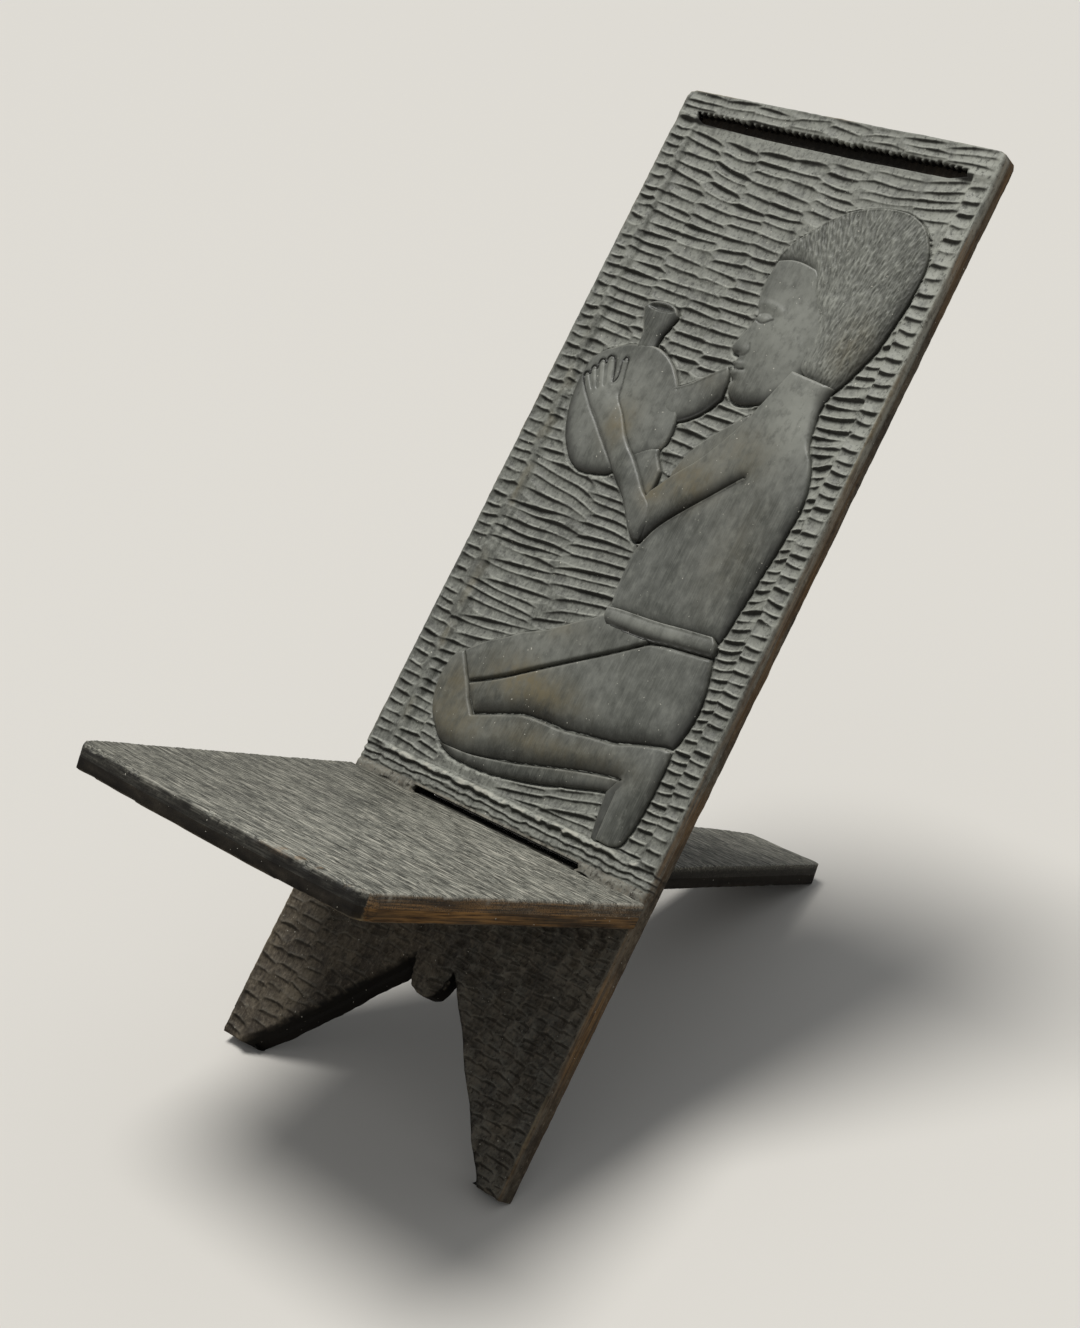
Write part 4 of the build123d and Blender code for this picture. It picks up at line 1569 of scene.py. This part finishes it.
def seat_shade_and_grain(points):
    """Painted shade in the scores, inside the slot, near-black on every edge but the right, and
    towards the foot of the right side; and dark grain streaks along the right side.
    """
    y, h = points[:, 1:].T
    depth = -read_map(SEAT_SCORES, points)
    scores = 0.5 * ramp(depth, 0.25, 0.7) * (h > UNDER_TOP)
    in_slot = 0.9 * ramp(y, -1.0, 2.5) * (1 - ramp(y, 18, 28))
    far = distance(points, SEAT_OUTLINE)
    edges = 0.88 + 0.15 * unevenness(points[:, [0, 2]], (12, 4), 65)
    edges *= ramp(-h, 1.2, 3.2) * (far < 1.2)
    streaks = ramp(unevenness(points[:, [1, 2]], (52, 3.4), 72), 0, 0.7)
    lower = 0.35 * ramp(-h, 15, 21) + 0.55 * streaks
    return np.maximum(in_slot, np.where(right_side(points), lower, np.maximum(edges, scores)))


SEAT_MARKS = {
    "bare": seat_bare, "rubbed": seat_rubbed, "faded_and_painted_light": seat_paler_to_the_right, "hollow": seat_shade_and_grain,
}
SEAT_MIDDLE = -11.0
BOARD_END = 12.0  # the top is carved in two pieces that meet here, inside the slot


def carve_seat_top(name, line, cell):
    """Part of the seat plank's upper half, scored on top and flat where it passes the slot."""
    bm = trimmed_grid([line], cell, sharp=line)
    points = flat_points(bm)
    worn = worn_arris(points, SEAT_OUTLINE, 2.4, 65) * (1 - 0.75 * ramp(points[:, 1], 0, 20))
    rough = read_map(SEAT_SCORES, points) + 0.25 * unevenness(points, 40, 67)
    rough -= front_chips(points) + 0.1 * unevenness(points, (5, 1.6), 68)
    in_slot = ramp(points[:, 1], 6, 12) * (1 - ramp(points[:, 1], 26, 32))
    heights = rough * (1 - in_slot) - worn
    set_heights(bm, np.minimum(heights, 0.0))
    close_below(bm, SEAT_MIDDLE, steps=2)
    bevel_shoulders(bm)
    return place(bm, name, SEAT, "seat", "worn_seat", SEAT_WOOD, SEAT_MARKS)


def carve_seat_underside():
    """The whole lower half of the seat plank, hewn and left."""
    bm = trimmed_grid([SEAT_OUTLINE], REAR_CELL, sharp=SEAT_OUTLINE)
    points = flat_points(bm)
    worn = worn_arris(points, SEAT_OUTLINE, 1.8, 69) * (1 - 0.6 * ramp(points[:, 1], 0, 20))
    heights = 0.35 * unevenness(points, (16, 60), 70) - 0.35 - worn
    set_heights(bm, -SEAT_THICKNESS - heights)
    close_below(bm, SEAT_MIDDLE, steps=2)
    bevel_shoulders(bm)
    return place(bm, "seat_underside", SEAT, "seat", "worn_seat", UNDERSIDE_WOOD, SEAT_MARKS)


def part_seat_outline():
    """The outlines of the seat board and of the tongue, which meet at BOARD_END."""
    meeting = ROOT - (ROOT - TAIL) * BOARD_END / TONGUE_LENGTH
    right, left = (meeting, BOARD_END), (-meeting, BOARD_END)
    on_tongue = np.flatnonzero(SEAT_OUTLINE[:, 1] >= BOARD_END)
    first, after = on_tongue[0], on_tongue[-1] + 1
    board = np.vstack([SEAT_OUTLINE[:first], right, left, SEAT_OUTLINE[after:]])
    return board, np.vstack([right, SEAT_OUTLINE[first:after], left])


board_line, tongue_line = part_seat_outline()
board_top = carve_seat_top("seat_board_top", board_line, (1.6, 0.72))
carve_seat_top("tongue_top", tongue_line, (1.9, 0.95))
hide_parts("seat_plank")
carve_seat_underside()

# ---------------------------------------------------------------- floor and light

scene = bpy.context.scene
scene.view_settings.view_transform = "Standard"


FLOOR_SEEN = (0.70, 0.675, 0.63, 1)
FLOOR_BOUNCE = (0.36, 0.33, 0.29, 1)
FLOOR_REACH = 30  # metres each way


def make_floor():
    """A pale floor that throws back less light on the object than its own colour would."""
    bm = bmesh.new()
    bmesh.ops.create_grid(bm, x_segments=1, y_segments=1, size=FLOOR_REACH)
    mesh = bpy.data.meshes.new("floor")
    bm.to_mesh(mesh)
    bm.free()
    floor = bpy.data.objects.new("floor", mesh)
    scene.collection.objects.link(floor)
    paint = bpy.data.materials.new("pale_floor")
    paint.use_nodes = True
    tree = paint.node_tree
    seen = node(tree, "ShaderNodeLightPath").outputs["Is Camera Ray"]
    mix = node(tree, "ShaderNodeMix", data_type="RGBA")
    tree.links.new(seen, mix.inputs[0])
    mix.inputs[6].default_value = FLOOR_BOUNCE
    mix.inputs[7].default_value = FLOOR_SEEN
    shader = tree.nodes["Principled BSDF"]
    tree.links.new(mix.outputs[2], shader.inputs["Base Color"])
    shader.inputs["Roughness"].default_value = 0.9
    mesh.materials.append(paint)


def make_sun(name, toward, spread, strength, colour):
    """An even light from the direction given, soft by the angle that it is spread over."""
    data = bpy.data.lights.new(name, "SUN")
    data.angle = math.radians(spread)
    data.energy = strength
    data.color = colour
    lamp = bpy.data.objects.new(name, data)
    lamp.rotation_mode = "QUATERNION"
    lamp.rotation_quaternion = Vector(toward).to_track_quat("Z", "Y")
    scene.collection.objects.link(lamp)


def light_room(colour, strength):
    """A plain even light from all round."""
    room = bpy.data.worlds.new("room")
    room.use_nodes = True
    walls = room.node_tree.nodes["Background"].inputs
    walls["Color"].default_value = (*colour, 1)
    walls["Strength"].default_value = strength
    scene.world = room


make_floor()
make_sun(
    "ceiling_light", toward=(-0.24, -0.05, 0.97), spread=24, strength=2.5, colour=(1.0, 0.99, 0.965)
)
light_room(colour=(0.94, 0.97, 1.0), strength=0.3)
